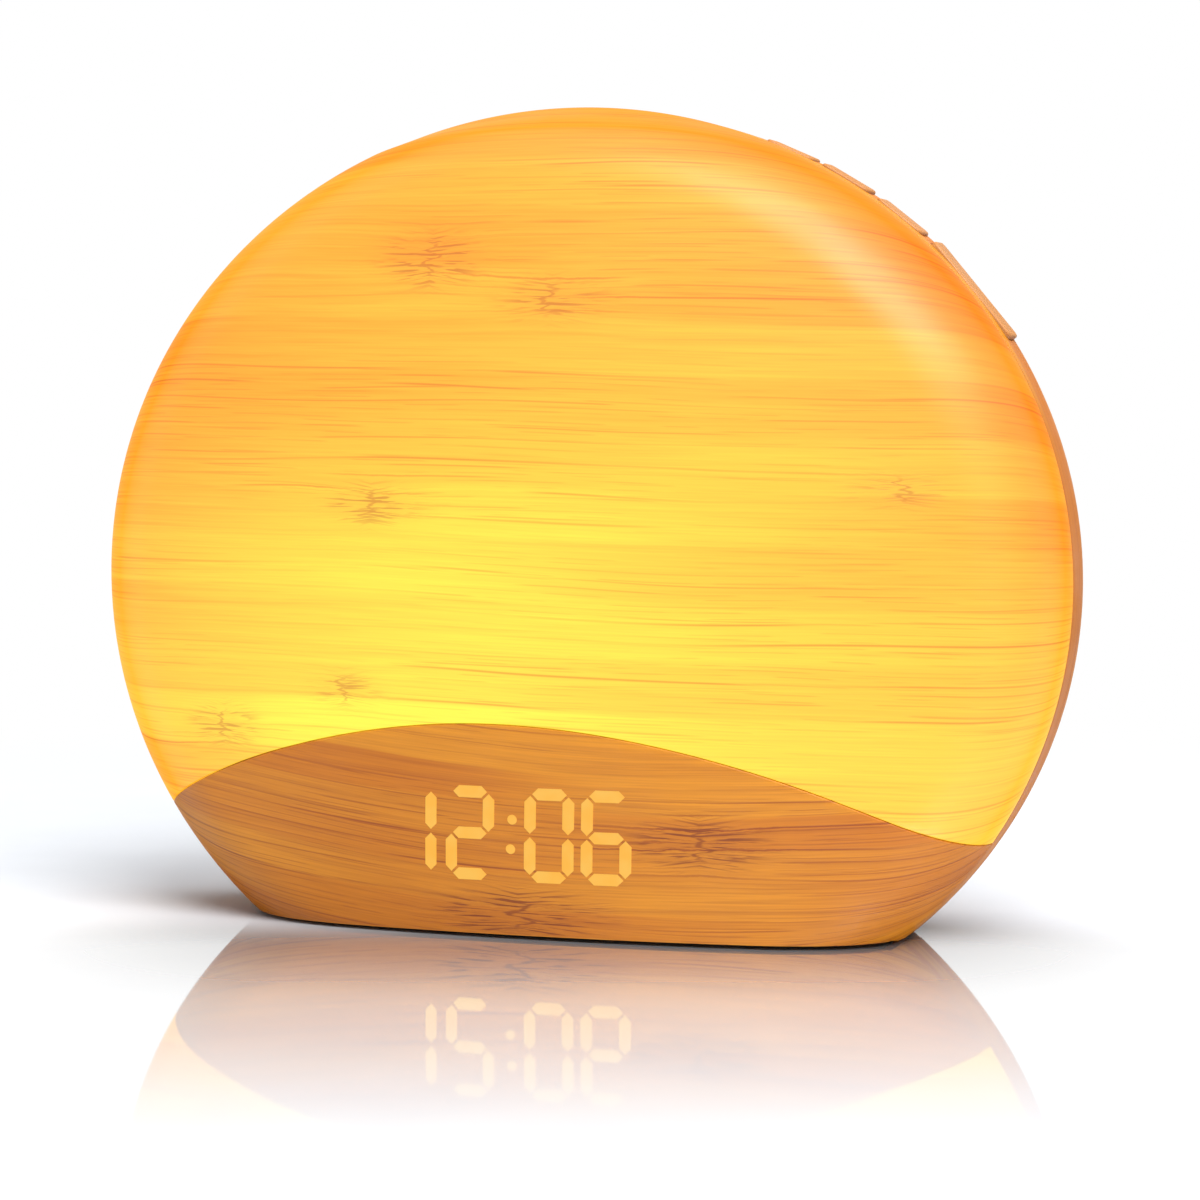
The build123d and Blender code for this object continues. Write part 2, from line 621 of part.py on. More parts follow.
def finish_housing(housing):
    """Adds ledge, bosses, slots and recesses to the main housing."""
    housing += wave_ledge()
    for angle in COVER_BOSS_ANGLES:
        housing += cover_boss(angle)
    for angle in TRAY_EAR_ANGLES:
        housing += band_boss(angle, TRAY_BACK, SEAM_PLANE - TONGUE_REACH - RUN_GAP)
    bracket_front = KEY_CENTRE_Y - BRACKET_EAR_THICKNESS / 2
    for angle in (BRACKET_START, BRACKET_END, -BRACKET_START, -BRACKET_END):
        housing += band_boss(angle, PANEL_PLANE + TONGUE_REACH + RUN_GAP, bracket_front)
    display = display_plane()
    for side in (-1, 1):
        boss = Pos(side * DISPLAY_SCREW_X, 0, 0) * Cylinder(BOSS_RADIUS, 2 * DISPLAY_THICKNESS)
        housing += (display.location * boss) & pebble(WALL / 2)
    for x in (-MAIN_SCREW_X, MAIN_SCREW_X):
        for y in MAIN_SCREW_Y:
            housing += rod_z(x, y, BOSS_RADIUS, FLOOR_TOP - BOSS_ROOT, MAIN_BOARD_UNDERSIDE)
    cuts = []
    for angle in COVER_BOSS_ANGLES:
        x, z = inward_point(angle, COVER_BOSS_INSET)
        tip = HEAD_SEAT - COVER_SCREW_LENGTH
        cuts.append(rod_y(x, z, SCREW_RADIUS + SCREW_PLAY, tip - RUN_GAP, REACH))
    for angle in TRAY_EAR_ANGLES:
        seat = TRAY_BACK - TRAY_EAR_THICKNESS
        cuts.append(band_boss_hole(angle, 0, seat + SCREW_LENGTH + RUN_GAP))
    for angle in (BRACKET_START, BRACKET_END, -BRACKET_START, -BRACKET_END):
        seat = KEY_CENTRE_Y + BRACKET_EAR_THICKNESS / 2
        cuts.append(band_boss_hole(angle, seat - SCREW_LENGTH - RUN_GAP, seat))
    for side in (-1, 1):
        hole_top = -DISPLAY_THICKNESS - BOARD_THICKNESS + SCREW_LENGTH + RUN_GAP
        hole = Cylinder(SCREW_RADIUS + SCREW_PLAY, REACH)
        hole = Pos(side * DISPLAY_SCREW_X, 0, hole_top - REACH / 2) * hole
        cuts.append(display.location * hole)
    for x in (-MAIN_SCREW_X, MAIN_SCREW_X):
        for y in MAIN_SCREW_Y:
            low = board_top() - SCREW_LENGTH - RUN_GAP
            cuts.append(rod_z(x, y, SCREW_RADIUS + SCREW_PLAY, low, board_top()))
    for index in range(len(KEY_ANGLES)):
        cuts += [key_slot(index, 1), key_slot(index, -1)]
    window = block((DISPLAY_X - WINDOW_WIDTH / 2, DISPLAY_X + WINDOW_WIDTH / 2),
                   (-HALF_DEPTH, DISPLAY_THICKNESS - HALF_DEPTH),
                   (DISPLAY_Z - WINDOW_HEIGHT / 2, DISPLAY_Z + WINDOW_HEIGHT / 2))
    cuts.append(window & pebble(WINDOW_WALL))
    cuts.append(pad_zone(PAD_INSET - FIT_GAP))
    return housing - cuts


def finish_panel(panel):
    """Adds the locating rib along the rim and clears the ledge."""
    rib = ring_tongue(PANEL_PLANE - TONGUE_REACH, PANEL_PLANE, PANEL_PLANE + TONGUE_REACH)
    rib &= above_wave(LEDGE_RISE + RUN_GAP)
    return panel + rib


def battery_window(side, y0, y1):
    """Rounded square zone of the cell door."""
    corner = DOOR_CORNER + (side - DOOR_SIDE) / 2
    return rounded_plate_y(CELL_X, CELL_Z, side, side, corner, y0, y1)


def finish_cover(cover):
    """Adds rib, pillars, speaker bosses and cell bay, and cuts ports and grille."""
    rib = ring_tongue(SEAM_PLANE + TONGUE_REACH, SEAM_PLANE, SEAM_PLANE - TONGUE_REACH)
    cover += rib & slab_z(FLOOR_TOP + FIT_GAP, REACH)
    inner = pebble(WALL / 2) & slab_z(PAD_STAND, REACH)
    for angle in COVER_BOSS_ANGLES:
        x, z = inward_point(angle, COVER_BOSS_INSET)
        cover += rod_y(x, z, COVER_PILLAR_RADIUS, SEAM_PLANE, HALF_DEPTH) & inner
    for x in (-SPEAKER_SCREW, SPEAKER_SCREW):
        for dz in (-SPEAKER_SCREW, SPEAKER_SCREW):
            cover += rod_y(x, SPEAKER_Z + dz, BOSS_RADIUS, SPEAKER_BOSS_FRONT, HALF_DEPTH) & inner
    seat = rod_y(0, SPEAKER_Z, SPEAKER_MOUTH_RADIUS + SPEAKER_GASKET, SPEAKER_BOSS_FRONT, HALF_DEPTH)
    seat -= rod_y(0, SPEAKER_Z, SPEAKER_MOUTH_RADIUS, 0, REACH)
    cover += seat & inner
    outer_bay = battery_window(DOOR_SIDE + 2 * (DOOR_GAP + BAY_WALL), bay_floor() - BAY_WALL, HALF_DEPTH)
    cover += outer_bay & inner
    cuts = [battery_window(DOOR_SIDE + 2 * DOOR_GAP, bay_floor(), REACH)]
    for angle in COVER_BOSS_ANGLES:
        x, z = inward_point(angle, COVER_BOSS_INSET)
        cuts.append(rod_y(x, z, SCREW_RADIUS + SCREW_HOLE_PLAY, 0, REACH))
        cuts.append(rod_y(x, z, SCREW_HEAD_RADIUS + SCREW_HOLE_PLAY, HEAD_SEAT, REACH))
    for x in (-SPEAKER_SCREW, SPEAKER_SCREW):
        for dz in (-SPEAKER_SCREW, SPEAKER_SCREW):
            tip = speaker_screw_seat() + SCREW_LENGTH + RUN_GAP
            core = min(tip, HALF_DEPTH - WALL)
            cuts.append(rod_y(x, SPEAKER_Z + dz, SCREW_RADIUS + SCREW_PLAY, 0, core))
    cuts += grille_slots()
    cuts.append(port_cut(INLET_X, INLET_WIDTH, INLET_HEIGHT, INLET_HEIGHT / 2))
    cuts.append(port_cut(OUTLET_X, OUTLET_WIDTH, OUTLET_HEIGHT, KEY_EDGE))
    cuts.append(pad_zone(PAD_INSET - FIT_GAP))
    return cover - cuts


def grille_slots():
    """Horizontal slots that fill a circle in front of the speaker."""
    slots = []
    for row in range(GRILLE_ROWS):
        dz = (row - (GRILLE_ROWS - 1) / 2) * GRILLE_PITCH
        length = 2 * sqrt(GRILLE_RADIUS**2 - dz**2)
        face = Plane.XZ * SlotOverall(length, GRILLE_SLOT)
        slots.append(Pos(0, REACH, SPEAKER_Z + dz) * extrude(face, amount=REACH - SPEAKER_BOSS_FRONT))
    return slots


def board_top():
    """Level that the parts of the main board stand on."""
    return MAIN_BOARD_UNDERSIDE + BOARD_THICKNESS


def port_cut(x, width, height, corner):
    """Opening in the rear cover round a socket."""
    z = board_top() + height / 2
    return rounded_plate_y(x, z, width + 2 * PORT_GAP, height + 2 * PORT_GAP,
                           corner + PORT_GAP - PORT_SHELL, MAIN_BOARD_REAR, REACH)


def foot_pads():
    """Two glued pads, one under each shell."""
    zone = pad_zone(PAD_INSET)
    front = zone & slab_y(-REACH, SEAM_PLANE - PAD_SPLIT_GAP)
    rear = zone & slab_y(SEAM_PLANE + PAD_SPLIT_GAP, REACH)
    return front, rear


# ---------------------------------------------------------------- light box
def tray_shell(offset):
    """Solid of the light box, drawn in by an offset, without its lower cut."""
    radius = TRAY_RADIUS - offset
    back = TRAY_BACK - offset
    flare_end = TRAY_FLARE_START - TRAY_FLARE_RISE
    points = [(0, back), (radius, back), (radius, TRAY_FLARE_START),
              (radius + TRAY_FLARE_SPREAD, flare_end), (radius + TRAY_FLARE_SPREAD, -HALF_DEPTH),
              (0, -HALF_DEPTH)]
    face = make_face(Polyline(*points, close=True))
    body = Rot(0, 90, 0) * revolve(face, axis=Axis.Y, revolution_arc=360)
    return Pos(0, 0, CENTRE_Z) * scale(body, by=(1, 1, BODY_HALF_HEIGHT / HALF_WIDTH))


def make_tray():
    """White light box: oval flared wall, back plate, wave-shaped floor and ears."""
    floor_low = LEDGE_RISE + BAFFLE_GAP
    outer = tray_shell(0.0) & above_wave(floor_low)
    inner = tray_shell(TRAY_WALL) & above_wave(floor_low + TRAY_WALL)
    tray = (outer - inner) & pebble(WALL + RUN_GAP)
    for angle in TRAY_EAR_ANGLES:
        squash = BODY_HALF_HEIGHT / HALF_WIDTH
        inset = HALF_WIDTH - TRAY_RADIUS
        low = -depth_at(angle, inset) - TRAY_WALL / squash
        high = -(WALL + RUN_GAP)
        ear = Pos(0, 0, (low + high) / 2) * Box(TRAY_EAR_WIDTH, TRAY_EAR_THICKNESS, high - low)
        tray += rim_plane(angle, TRAY_BACK - TRAY_EAR_THICKNESS / 2).location * ear
    for x in (-LED_SCREW_X, LED_SCREW_X):
        tray += rod_y(x, LED_BOARD_CENTRE_Z, BOSS_RADIUS, TRAY_BACK - BOSS_ROOT, led_tip() + RUN_GAP)
    for angle in TRAY_EAR_ANGLES:
        x, z = inward_point(angle, boss_inset())
        tray -= rod_y(x, z, SCREW_RADIUS + SCREW_HOLE_PLAY, TRAY_BACK - 2 * TRAY_EAR_THICKNESS, REACH)
    for x in (-LED_SCREW_X, LED_SCREW_X):
        tray -= rod_y(x, LED_BOARD_CENTRE_Z, SCREW_RADIUS + SCREW_PLAY, 0, REACH)
    return tray


def tray_screws():
    """Screws through the ears of the light box."""
    seat = TRAY_BACK - TRAY_EAR_THICKNESS
    places = [inward_point(angle, boss_inset()) for angle in TRAY_EAR_ANGLES]
    return [screw(facing_front(x, seat, z)) for x, z in places]


def led_seat():
    """Depth coordinate of the LED board's front face."""
    return TRAY_BACK - TRAY_WALL - BOARD_THICKNESS


def led_tip():
    """Depth coordinate of the tips of the LED board's screws."""
    return led_seat() + SCREW_LENGTH


def led_board():
    """Board that carries the LEDs, flat on the back plate of the light box."""
    board = rounded_plate_y(0, LED_BOARD_CENTRE_Z, LED_BOARD_WIDTH, LED_BOARD_HEIGHT,
                            LED_BOARD_CORNER, led_seat(), led_seat() + BOARD_THICKNESS)
    for x in (-LED_SCREW_X, LED_SCREW_X):
        board -= rod_y(x, LED_BOARD_CENTRE_Z, SCREW_RADIUS + SCREW_HOLE_PLAY, 0, REACH)
    return board


def led_chips():
    """Grid of LED packages on the board."""
    chips = []
    for column in range(LED_COLUMNS):
        x = (column - (LED_COLUMNS - 1) / 2) * LED_PITCH_X
        for row in range(LED_ROWS):
            z = LED_BOARD_CENTRE_Z + (row - (LED_ROWS - 1) / 2) * LED_PITCH_Z
            chip = Box(LED_WIDTH, LED_THICKNESS, LED_HEIGHT)
            chips.append(Pos(x, led_seat() - LED_THICKNESS / 2, z) * chip)
    return chips


def led_screws():
    """Screws of the LED board."""
    return [screw(facing_front(x, led_seat(), LED_BOARD_CENTRE_Z)) for x in (-LED_SCREW_X, LED_SCREW_X)]


# ---------------------------------------------------------------- display
def display_module():
    """Four-digit display block with a well for each digit and for the colon."""
    body = Pos(0, 0, -DISPLAY_THICKNESS / 2) * Box(DISPLAY_WIDTH, DISPLAY_HEIGHT, DISPLAY_THICKNESS)
    for x in DIGIT_CENTRES:
        well = Box(DIGIT_WELL_WIDTH, DIGIT_WELL_HEIGHT, 2 * DIGIT_WELL_DEPTH)
        body -= Pos(x, 0, 0) * well
    for y in (-COLON_HALF_PITCH, COLON_HALF_PITCH):
        body -= Pos(COLON_X, y, 0) * Cylinder(COLON_RADIUS, 2 * DIGIT_WELL_DEPTH)
    return display_plane().location * body


def display_board():
    """Board behind the display block, screwed to the fascia's bosses."""
    top = -DISPLAY_THICKNESS
    board = rounded_bar(DISPLAY_BOARD_WIDTH, DISPLAY_BOARD_HEIGHT, DISPLAY_BOARD_CORNER,
                        top - BOARD_THICKNESS, top)
    for side in (-1, 1):
        hole = Cylinder(SCREW_RADIUS + SCREW_HOLE_PLAY, 4 * DISPLAY_THICKNESS)
        board -= Pos(side * DISPLAY_SCREW_X, 0, 0) * hole
    return display_plane().location * board


def display_screws():
    """Screws of the display board, driven from behind."""
    screws = []
    for side in (-1, 1):
        seat = Pos(side * DISPLAY_SCREW_X, 0, -DISPLAY_THICKNESS - BOARD_THICKNESS) * Rot(180, 0, 0)
        screws.append(screw(display_plane().location * seat))
    return screws


# ---------------------------------------------------------------- main board
def main_board():
    """Horizontal board over the floor of the housing."""
    depth = MAIN_BOARD_REAR - MAIN_BOARD_FRONT
    plate = RectangleRounded(2 * MAIN_BOARD_HALF_WIDTH, depth, MAIN_BOARD_CORNER)
    middle = (MAIN_BOARD_REAR + MAIN_BOARD_FRONT) / 2
    board = Pos(0, middle, MAIN_BOARD_UNDERSIDE) * extrude(plate, BOARD_THICKNESS)
    for x in (-MAIN_SCREW_X, MAIN_SCREW_X):
        for y in MAIN_SCREW_Y:
            board -= rod_z(x, y, SCREW_RADIUS + SCREW_HOLE_PLAY, 0, REACH)
    return board


def main_board_screws():
    """Screws of the main board; the two front bosses and the two rear ones."""
    places = [(x, y) for x in (-MAIN_SCREW_X, MAIN_SCREW_X) for y in MAIN_SCREW_Y]
    return [screw(Pos(x, y, board_top())) for x, y in places]


def on_board(x, y, height):
    """Placement of a part that stands on the main board."""
    return Pos(x, y, board_top() + height / 2)


def control_chip():
    """Square control chip with its corner mark."""
    chip = Box(CHIP_SIDE, CHIP_SIDE, CHIP_HEIGHT)
    chip = chamfer(chip.edges().filter_by(Axis.Z), CHIP_CHAMFER)
    mark = Cylinder(CHIP_MARK_RADIUS, 2 * CHIP_MARK_DEPTH)
    mark = Pos(-CHIP_SIDE / 3, -CHIP_SIDE / 3, CHIP_HEIGHT / 2) * mark
    return on_board(CHIP_X, CHIP_Y, CHIP_HEIGHT) * (chip - mark)


def capacitors():
    """Round electrolytic capacitors with a crimp groove."""
    can = Cylinder(CAPACITOR_RADIUS, CAPACITOR_HEIGHT)
    crimp = Torus(CAPACITOR_RADIUS + CRIMP_STANDOFF, CRIMP_RADIUS)
    crimp = Pos(0, 0, -CAPACITOR_HEIGHT / 3) * crimp
    can -= crimp
    return [on_board(x, y, CAPACITOR_HEIGHT) * can for x, y in CAPACITOR_PLACES]


def cable_sockets():
    """Open-topped sockets for the leads of lamp, speaker and keys."""
    length, width, height = SOCKET_SIZE
    wall = 2 * SOCKET_WALL
    shell = Box(length, width, height)
    shell -= Pos(0, 0, SOCKET_WALL) * Box(length - wall, width - wall, height)
    return [on_board(x, y, height) * shell for x, y in SOCKET_PLACES]


def port_tube(x, width, height, length, corner):
    """Sheet-metal shell of a socket, open at its mouth."""
    rear = PORT_MOUTH
    z = board_top() + height / 2
    tube = rounded_plate_y(x, z, width, height, corner, rear - length, rear)
    bore = rounded_plate_y(x, z, width - 2 * PORT_SHELL, height - 2 * PORT_SHELL,
                           corner - PORT_SHELL, rear - length + 2 * PORT_SHELL, REACH)
    return tube - bore


def power_inlet():
    """Shell of the power inlet."""
    return port_tube(INLET_X, INLET_WIDTH, INLET_HEIGHT, INLET_LENGTH, INLET_HEIGHT / 2 - 0.01)


def charging_outlet():
    """Shell of the charging outlet."""
    return port_tube(OUTLET_X, OUTLET_WIDTH, OUTLET_HEIGHT, OUTLET_LENGTH, OUTLET_CORNER)


def port_tongues():
    """Contact tongues inside the two sockets."""
    tongues = []
    places = [(INLET_X, INLET_TONGUE, INLET_HEIGHT / 2, INLET_LENGTH),
              (OUTLET_X, OUTLET_TONGUE, OUTLET_TONGUE_LEVEL, OUTLET_LENGTH)]
    for x, (width, thickness), level, length in places:
        back = PORT_MOUTH - length + 2 * PORT_SHELL
        z = board_top() + level
        tongues.append(block((x - width / 2, x + width / 2), (back, PORT_MOUTH - PORT_TONGUE_SETBACK),
                             (z - thickness / 2, z + thickness / 2)))
    return tongues


# ---------------------------------------------------------------- speaker
def speaker_flange_rear():
    """Depth coordinate of the speaker flange's rear face."""
    return SPEAKER_BOSS_FRONT - SPEAKER_GASKET


def speaker_screw_seat():
    """Depth coordinate of the face that the speaker screws press on."""
    return speaker_flange_rear() - SPEAKER_FLANGE


def round_body(points):
    """Solid of revolution about the speaker's axis from (radius, depth) points."""
    face = make_face(Polyline(*points, close=True))
    return Pos(0, 0, SPEAKER_Z) * revolve(face, axis=Axis.Y, revolution_arc=360)


def speaker_frame():
    """Square flange with a conical basket behind it."""
    rear = speaker_flange_rear()
    front = speaker_screw_seat()
    back = front - SPEAKER_BASKET_DEPTH
    flange = rounded_plate_y(0, SPEAKER_Z, SPEAKER_SIDE, SPEAKER_SIDE, SPEAKER_CORNER, front, rear)
    mouth, neck = SPEAKER_MOUTH_RADIUS, SPEAKER_BACK_RADIUS
    basket = round_body([(0, rear), (mouth + BASKET_WALL, rear), (mouth + BASKET_WALL, front),
                         (neck + BASKET_WALL, back), (0, back)])
    bore = round_body([(0, REACH), (mouth, REACH), (mouth, front), (neck, back + BASKET_WALL),
                       (0, back + BASKET_WALL)])
    frame = flange + basket - bore
    for x in (-SPEAKER_SCREW, SPEAKER_SCREW):
        for dz in (-SPEAKER_SCREW, SPEAKER_SCREW):
            frame -= rod_y(x, SPEAKER_Z + dz, SCREW_RADIUS + SCREW_HOLE_PLAY, 0, REACH)
    return frame


def speaker_cone():
    """Paper cone with a dust cap, seated on the step of the basket."""
    rear = speaker_flange_rear()
    front = speaker_screw_seat()
    edge = SPEAKER_MOUTH_RADIUS - CONE_GAP
    fold = edge - CONE_SURROUND
    bottom = front - SPEAKER_BASKET_DEPTH / 2
    neck_top = bottom + CONE_THICKNESS
    return round_body([(0, bottom), (COIL_RADIUS, bottom), (fold, front), (edge, front),
                       (edge, rear - CONE_SETBACK), (fold, rear - CONE_SETBACK),
                       (COIL_RADIUS, neck_top), (0, neck_top + DUST_CAP_RISE)])


def speaker_magnet():
    """Magnet pot on the back of the basket."""
    back = speaker_screw_seat() - SPEAKER_BASKET_DEPTH
    pot = rod_y(0, SPEAKER_Z, MAGNET_RADIUS, back - MAGNET_THICKNESS, back)
    return chamfer(pot.edges().filter_by(GeomType.CIRCLE), MAGNET_CHAMFER)


def voice_coil():
    """Voice coil between the basket floor and the cone's neck."""
    back = speaker_screw_seat() - SPEAKER_BASKET_DEPTH + BASKET_WALL
    front = speaker_screw_seat() - SPEAKER_BASKET_DEPTH / 2
    coil = rod_y(0, SPEAKER_Z, COIL_RADIUS, back, front)
    return coil - rod_y(0, SPEAKER_Z, COIL_RADIUS - COIL_WALL, 0, REACH)


def speaker_gasket():
    """Soft ring between the flange and the seat in the cover."""
    rear = SPEAKER_BOSS_FRONT
    ring = rod_y(0, SPEAKER_Z, SPEAKER_MOUTH_RADIUS + GASKET_WIDTH, speaker_flange_rear(), rear)
    ring -= rod_y(0, SPEAKER_Z, SPEAKER_MOUTH_RADIUS, 0, REACH)
    return ring


def speaker_screws():
    """Screws at the four corners of the speaker flange."""
    seat = speaker_screw_seat()
    corners = [(x, dz) for x in (-SPEAKER_SCREW, SPEAKER_SCREW) for dz in (-SPEAKER_SCREW, SPEAKER_SCREW)]
    return [screw(facing_front(x, seat, SPEAKER_Z + dz)) for x, dz in corners]


# ---------------------------------------------------------------- backup cell
def battery_door(skin_zone):
    """Door cut from the cover's own skin, with a finger notch and a rib over the cell."""
    door = skin_zone & battery_window(DOOR_SIDE, 0, REACH)
    door -= rod_y(CELL_X, CELL_Z + DOOR_SIDE / 2, DOOR_NOTCH_RADIUS, DOOR_NOTCH_FLOOR, REACH)
    rib_front = bay_floor() + CONTACT_THICKNESS + CELL_THICKNESS + RUN_GAP
    ribs = block((CELL_X - DOOR_SIDE / 3, CELL_X + DOOR_SIDE / 3), (rib_front, HALF_DEPTH),
                 (CELL_Z - DOOR_RIB, CELL_Z + DOOR_RIB))
    return door + (ribs & pebble(WALL / 2))


def coin_cell():
    """Round backup cell."""
    front = bay_floor() + CONTACT_THICKNESS
    cell = rod_y(CELL_X, CELL_Z, CELL_RADIUS, front, front + CELL_THICKNESS)
    return chamfer(cell.edges().filter_by(GeomType.CIRCLE), CELL_CHAMFER)


def cell_contacts():
    """Flat contact under the cell and an angled one beside it."""
    sheet = (bay_floor(), bay_floor() + CONTACT_THICKNESS)
    strip = block((CELL_X - CONTACT_HALF_WIDTH, CELL_X + CONTACT_HALF_WIDTH), sheet,
                  (CELL_Z - CELL_RADIUS, CELL_Z + CELL_RADIUS - CONTACT_HALF_WIDTH))
    side_x = CELL_X + DOOR_SIDE / 2 + DOOR_GAP
    span = (CELL_Z - BLADE_HALF_HEIGHT, CELL_Z + BLADE_HALF_HEIGHT)
    foot = block((side_x - BLADE_FOOT, side_x), sheet, span)
    blade = block((side_x - CONTACT_THICKNESS, side_x), (bay_floor(), bay_floor() + CELL_THICKNESS), span)
    return [strip, foot + blade]


# ---------------------------------------------------------------- assembly
def write(name, shape):
    """Writes one node; a list is a group of separate solids."""
    if isinstance(shape, list):
        shape = Compound(children=[item.solid() for item in shape])
    export_step(shape, os.path.join("parts", name + ".step"))


def write_keys():
    """Writes the caps, switches, flex boards and brackets of both sides."""
    for side, label in ((1, "right"), (-1, "left")):
        for index in range(len(KEY_ANGLES)):
            write(f"key_{label}_{index + 1}", mirrored(key_cap(index), side))
        switches = [key_switch(index) for index in range(len(KEY_ANGLES))]
        write(f"key_switches_{label}", [mirrored(item, side) for item in switches])
        flex = rim_strip(BRACKET_START + FLEX_SETBACK, BRACKET_END - FLEX_SETBACK, flex_depth(),
                         FLEX_THICKNESS, FLEX_WIDTH)
        write(f"key_flex_board_{label}", mirrored(flex, side))
        write(f"key_bracket_{label}", mirrored(key_bracket(), side))
    screws = bracket_screws()
    write("key_bracket_screws", screws + [mirrored(item, -1) for item in screws])


def write_shells():
    """Writes the shells, the foot pads and the cell door."""
    housing, panel, cover = make_shells()
    write("main_housing", finish_housing(housing))
    write("diffuser_panel", finish_panel(panel))
    write("battery_door", battery_door(cover))
    write("rear_cover", finish_cover(cover))
    front_pad, rear_pad = foot_pads()
    write("front_foot_pad", front_pad)
    write("rear_foot_pad", rear_pad)
    seats = [inward_point(angle, COVER_BOSS_INSET) for angle in COVER_BOSS_ANGLES]
    write("cover_screws", [screw(facing_rear(x, HEAD_SEAT, z), COVER_SCREW_LENGTH)
                           for x, z in seats])


def write_inside():
    """Writes the light box, display, boards, speaker and backup cell."""
    write("light_box", make_tray())
    write("light_box_screws", tray_screws())
    write("led_board", led_board())
    write("led_chips", led_chips())
    write("led_board_screws", led_screws())
    write("display_module", display_module())
    write("display_board", display_board())
    write("display_screws", display_screws())
    write("main_board", main_board())
    write("main_board_screws", main_board_screws())
    write("control_chip", control_chip())
    write("capacitors", capacitors())
    write("cable_sockets", cable_sockets())
    write("power_inlet", power_inlet())
    write("charging_outlet", charging_outlet())
    write("port_tongues", port_tongues())
    write("speaker_frame", speaker_frame())
    write("speaker_cone", speaker_cone())
    write("speaker_magnet", speaker_magnet())
    write("voice_coil", voice_coil())
    write("speaker_gasket", speaker_gasket())
    write("speaker_screws", speaker_screws())
    write("coin_cell", coin_cell())
    write("cell_contacts", cell_contacts())


def main():
    """Builds every node into the parts folder."""
    os.makedirs("parts", exist_ok=True)
    write_shells()
    write_keys()
    write_inside()


if __name__ == "__main__":
    main()
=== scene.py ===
"""Looks of a sunrise alarm clock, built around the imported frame.

The clock is a pebble-shaped shell: a lit opal panel above a wave line, a bamboo-grain fascia
with four glowing digits below it, a band with keys round the rim and a domed rear cover.
The clock's lengths are millimetres in this file and become metres when a mesh is made; the
studio's are metres.  The axes are the frame's own: +X to the viewer's right, +Y to the rear,
+Z up.
"""

from __future__ import annotations

import json
import logging
from dataclasses import dataclass, field
from enum import Enum
from typing import Protocol

import bpy
import numpy as np
from mathutils import Matrix, Vector
from mathutils.geometry import delaunay_2d_cdt

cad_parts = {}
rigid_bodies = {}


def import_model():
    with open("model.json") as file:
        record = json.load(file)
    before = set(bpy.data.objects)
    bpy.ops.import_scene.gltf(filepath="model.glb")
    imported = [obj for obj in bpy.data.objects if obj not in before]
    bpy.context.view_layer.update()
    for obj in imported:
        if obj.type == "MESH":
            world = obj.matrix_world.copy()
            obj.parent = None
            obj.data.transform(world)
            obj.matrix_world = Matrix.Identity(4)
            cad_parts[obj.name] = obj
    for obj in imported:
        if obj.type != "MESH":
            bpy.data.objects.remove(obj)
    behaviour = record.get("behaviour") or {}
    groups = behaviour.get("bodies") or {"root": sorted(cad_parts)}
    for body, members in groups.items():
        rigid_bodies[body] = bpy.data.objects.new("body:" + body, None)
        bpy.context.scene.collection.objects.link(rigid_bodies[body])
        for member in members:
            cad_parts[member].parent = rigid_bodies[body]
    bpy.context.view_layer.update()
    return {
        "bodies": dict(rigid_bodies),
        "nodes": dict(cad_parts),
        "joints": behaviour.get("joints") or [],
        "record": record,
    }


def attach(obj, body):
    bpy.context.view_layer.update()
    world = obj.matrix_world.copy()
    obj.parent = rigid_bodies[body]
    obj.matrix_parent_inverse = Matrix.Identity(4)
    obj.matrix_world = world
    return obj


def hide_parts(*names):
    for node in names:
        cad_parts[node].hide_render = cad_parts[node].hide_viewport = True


Array = np.ndarray
Socket = bpy.types.NodeSocket
Face = tuple[int, ...]
Pair = tuple[float, float]
Triple = tuple[float, float, float]
Rgba = tuple[float, float, float, float]

LOG = logging.getLogger("sunrise_clock")
MM = 0.001                     # metres in a millimetre
GRAIN_UNIT = 0.01              # grain map units in a millimetre
UNIT_LENGTH = 100.0            # millimetres in a unit of the grain map
MIDDLE = (0.3, 0.7)            # range that holds most values of a noise
FINE = 3.0                     # octaves of a finely detailed noise
SHARP_DEGREES = 38.0           # edges bent more than this stay sharp
TINY = 1e-9                    # keeps a division from failing
PROBE = 0.02                   # step that tells the inner side of a loop
HALVINGS = 50                  # steps of a search by halving
CLOCK_BODY = "clock"
WHITE = (1.0, 1.0, 1.0, 1.0)
BLACK = (0.0, 0.0, 0.0, 1.0)


# ---------------------------------------------------------------- small helpers
def srgb(red: float, green: float, blue: float) -> Rgba:
    """Turns an 8-bit display colour into the linear colour that shaders use.

    Args:
        red: Red, 0 to 255.
        green: Green, 0 to 255.
        blue: Blue, 0 to 255.

    Returns:
        Linear red, green, blue and an alpha of one.
    """
    parts = np.array([red, green, blue]) / 255.0
    linear = np.where(parts <= 0.04045, parts / 12.92, ((parts + 0.055) / 1.055) ** 2.4)
    return (float(linear[0]), float(linear[1]), float(linear[2]), 1.0)


def smoothstep(value: Array, low: float, high: float) -> Array:
    """Eases from 0 at low to 1 at high."""
    t = np.clip((value - low) / (high - low), 0.0, 1.0)
    return t * t * (3.0 - 2.0 * t)


def resample(loop: Array, spacing: float) -> Array:
    """Spreads points evenly along a closed polyline and keeps its sharp corners.

    Args:
        loop: Corner points, one row each.
        spacing: Longest wanted distance between neighbours.

    Returns:
        Points of the same closed line, at most one spacing apart.
    """
    following = np.roll(loop, -1, axis=0)
    lengths = np.linalg.norm(following - loop, axis=1)
    pieces = []
    for start, end, length in zip(loop, following, lengths):
        count = max(1, int(np.ceil(length / spacing)))
        t = np.arange(count)[:, None] / count
        pieces.append(start + (end - start) * t)
    return np.vstack(pieces)


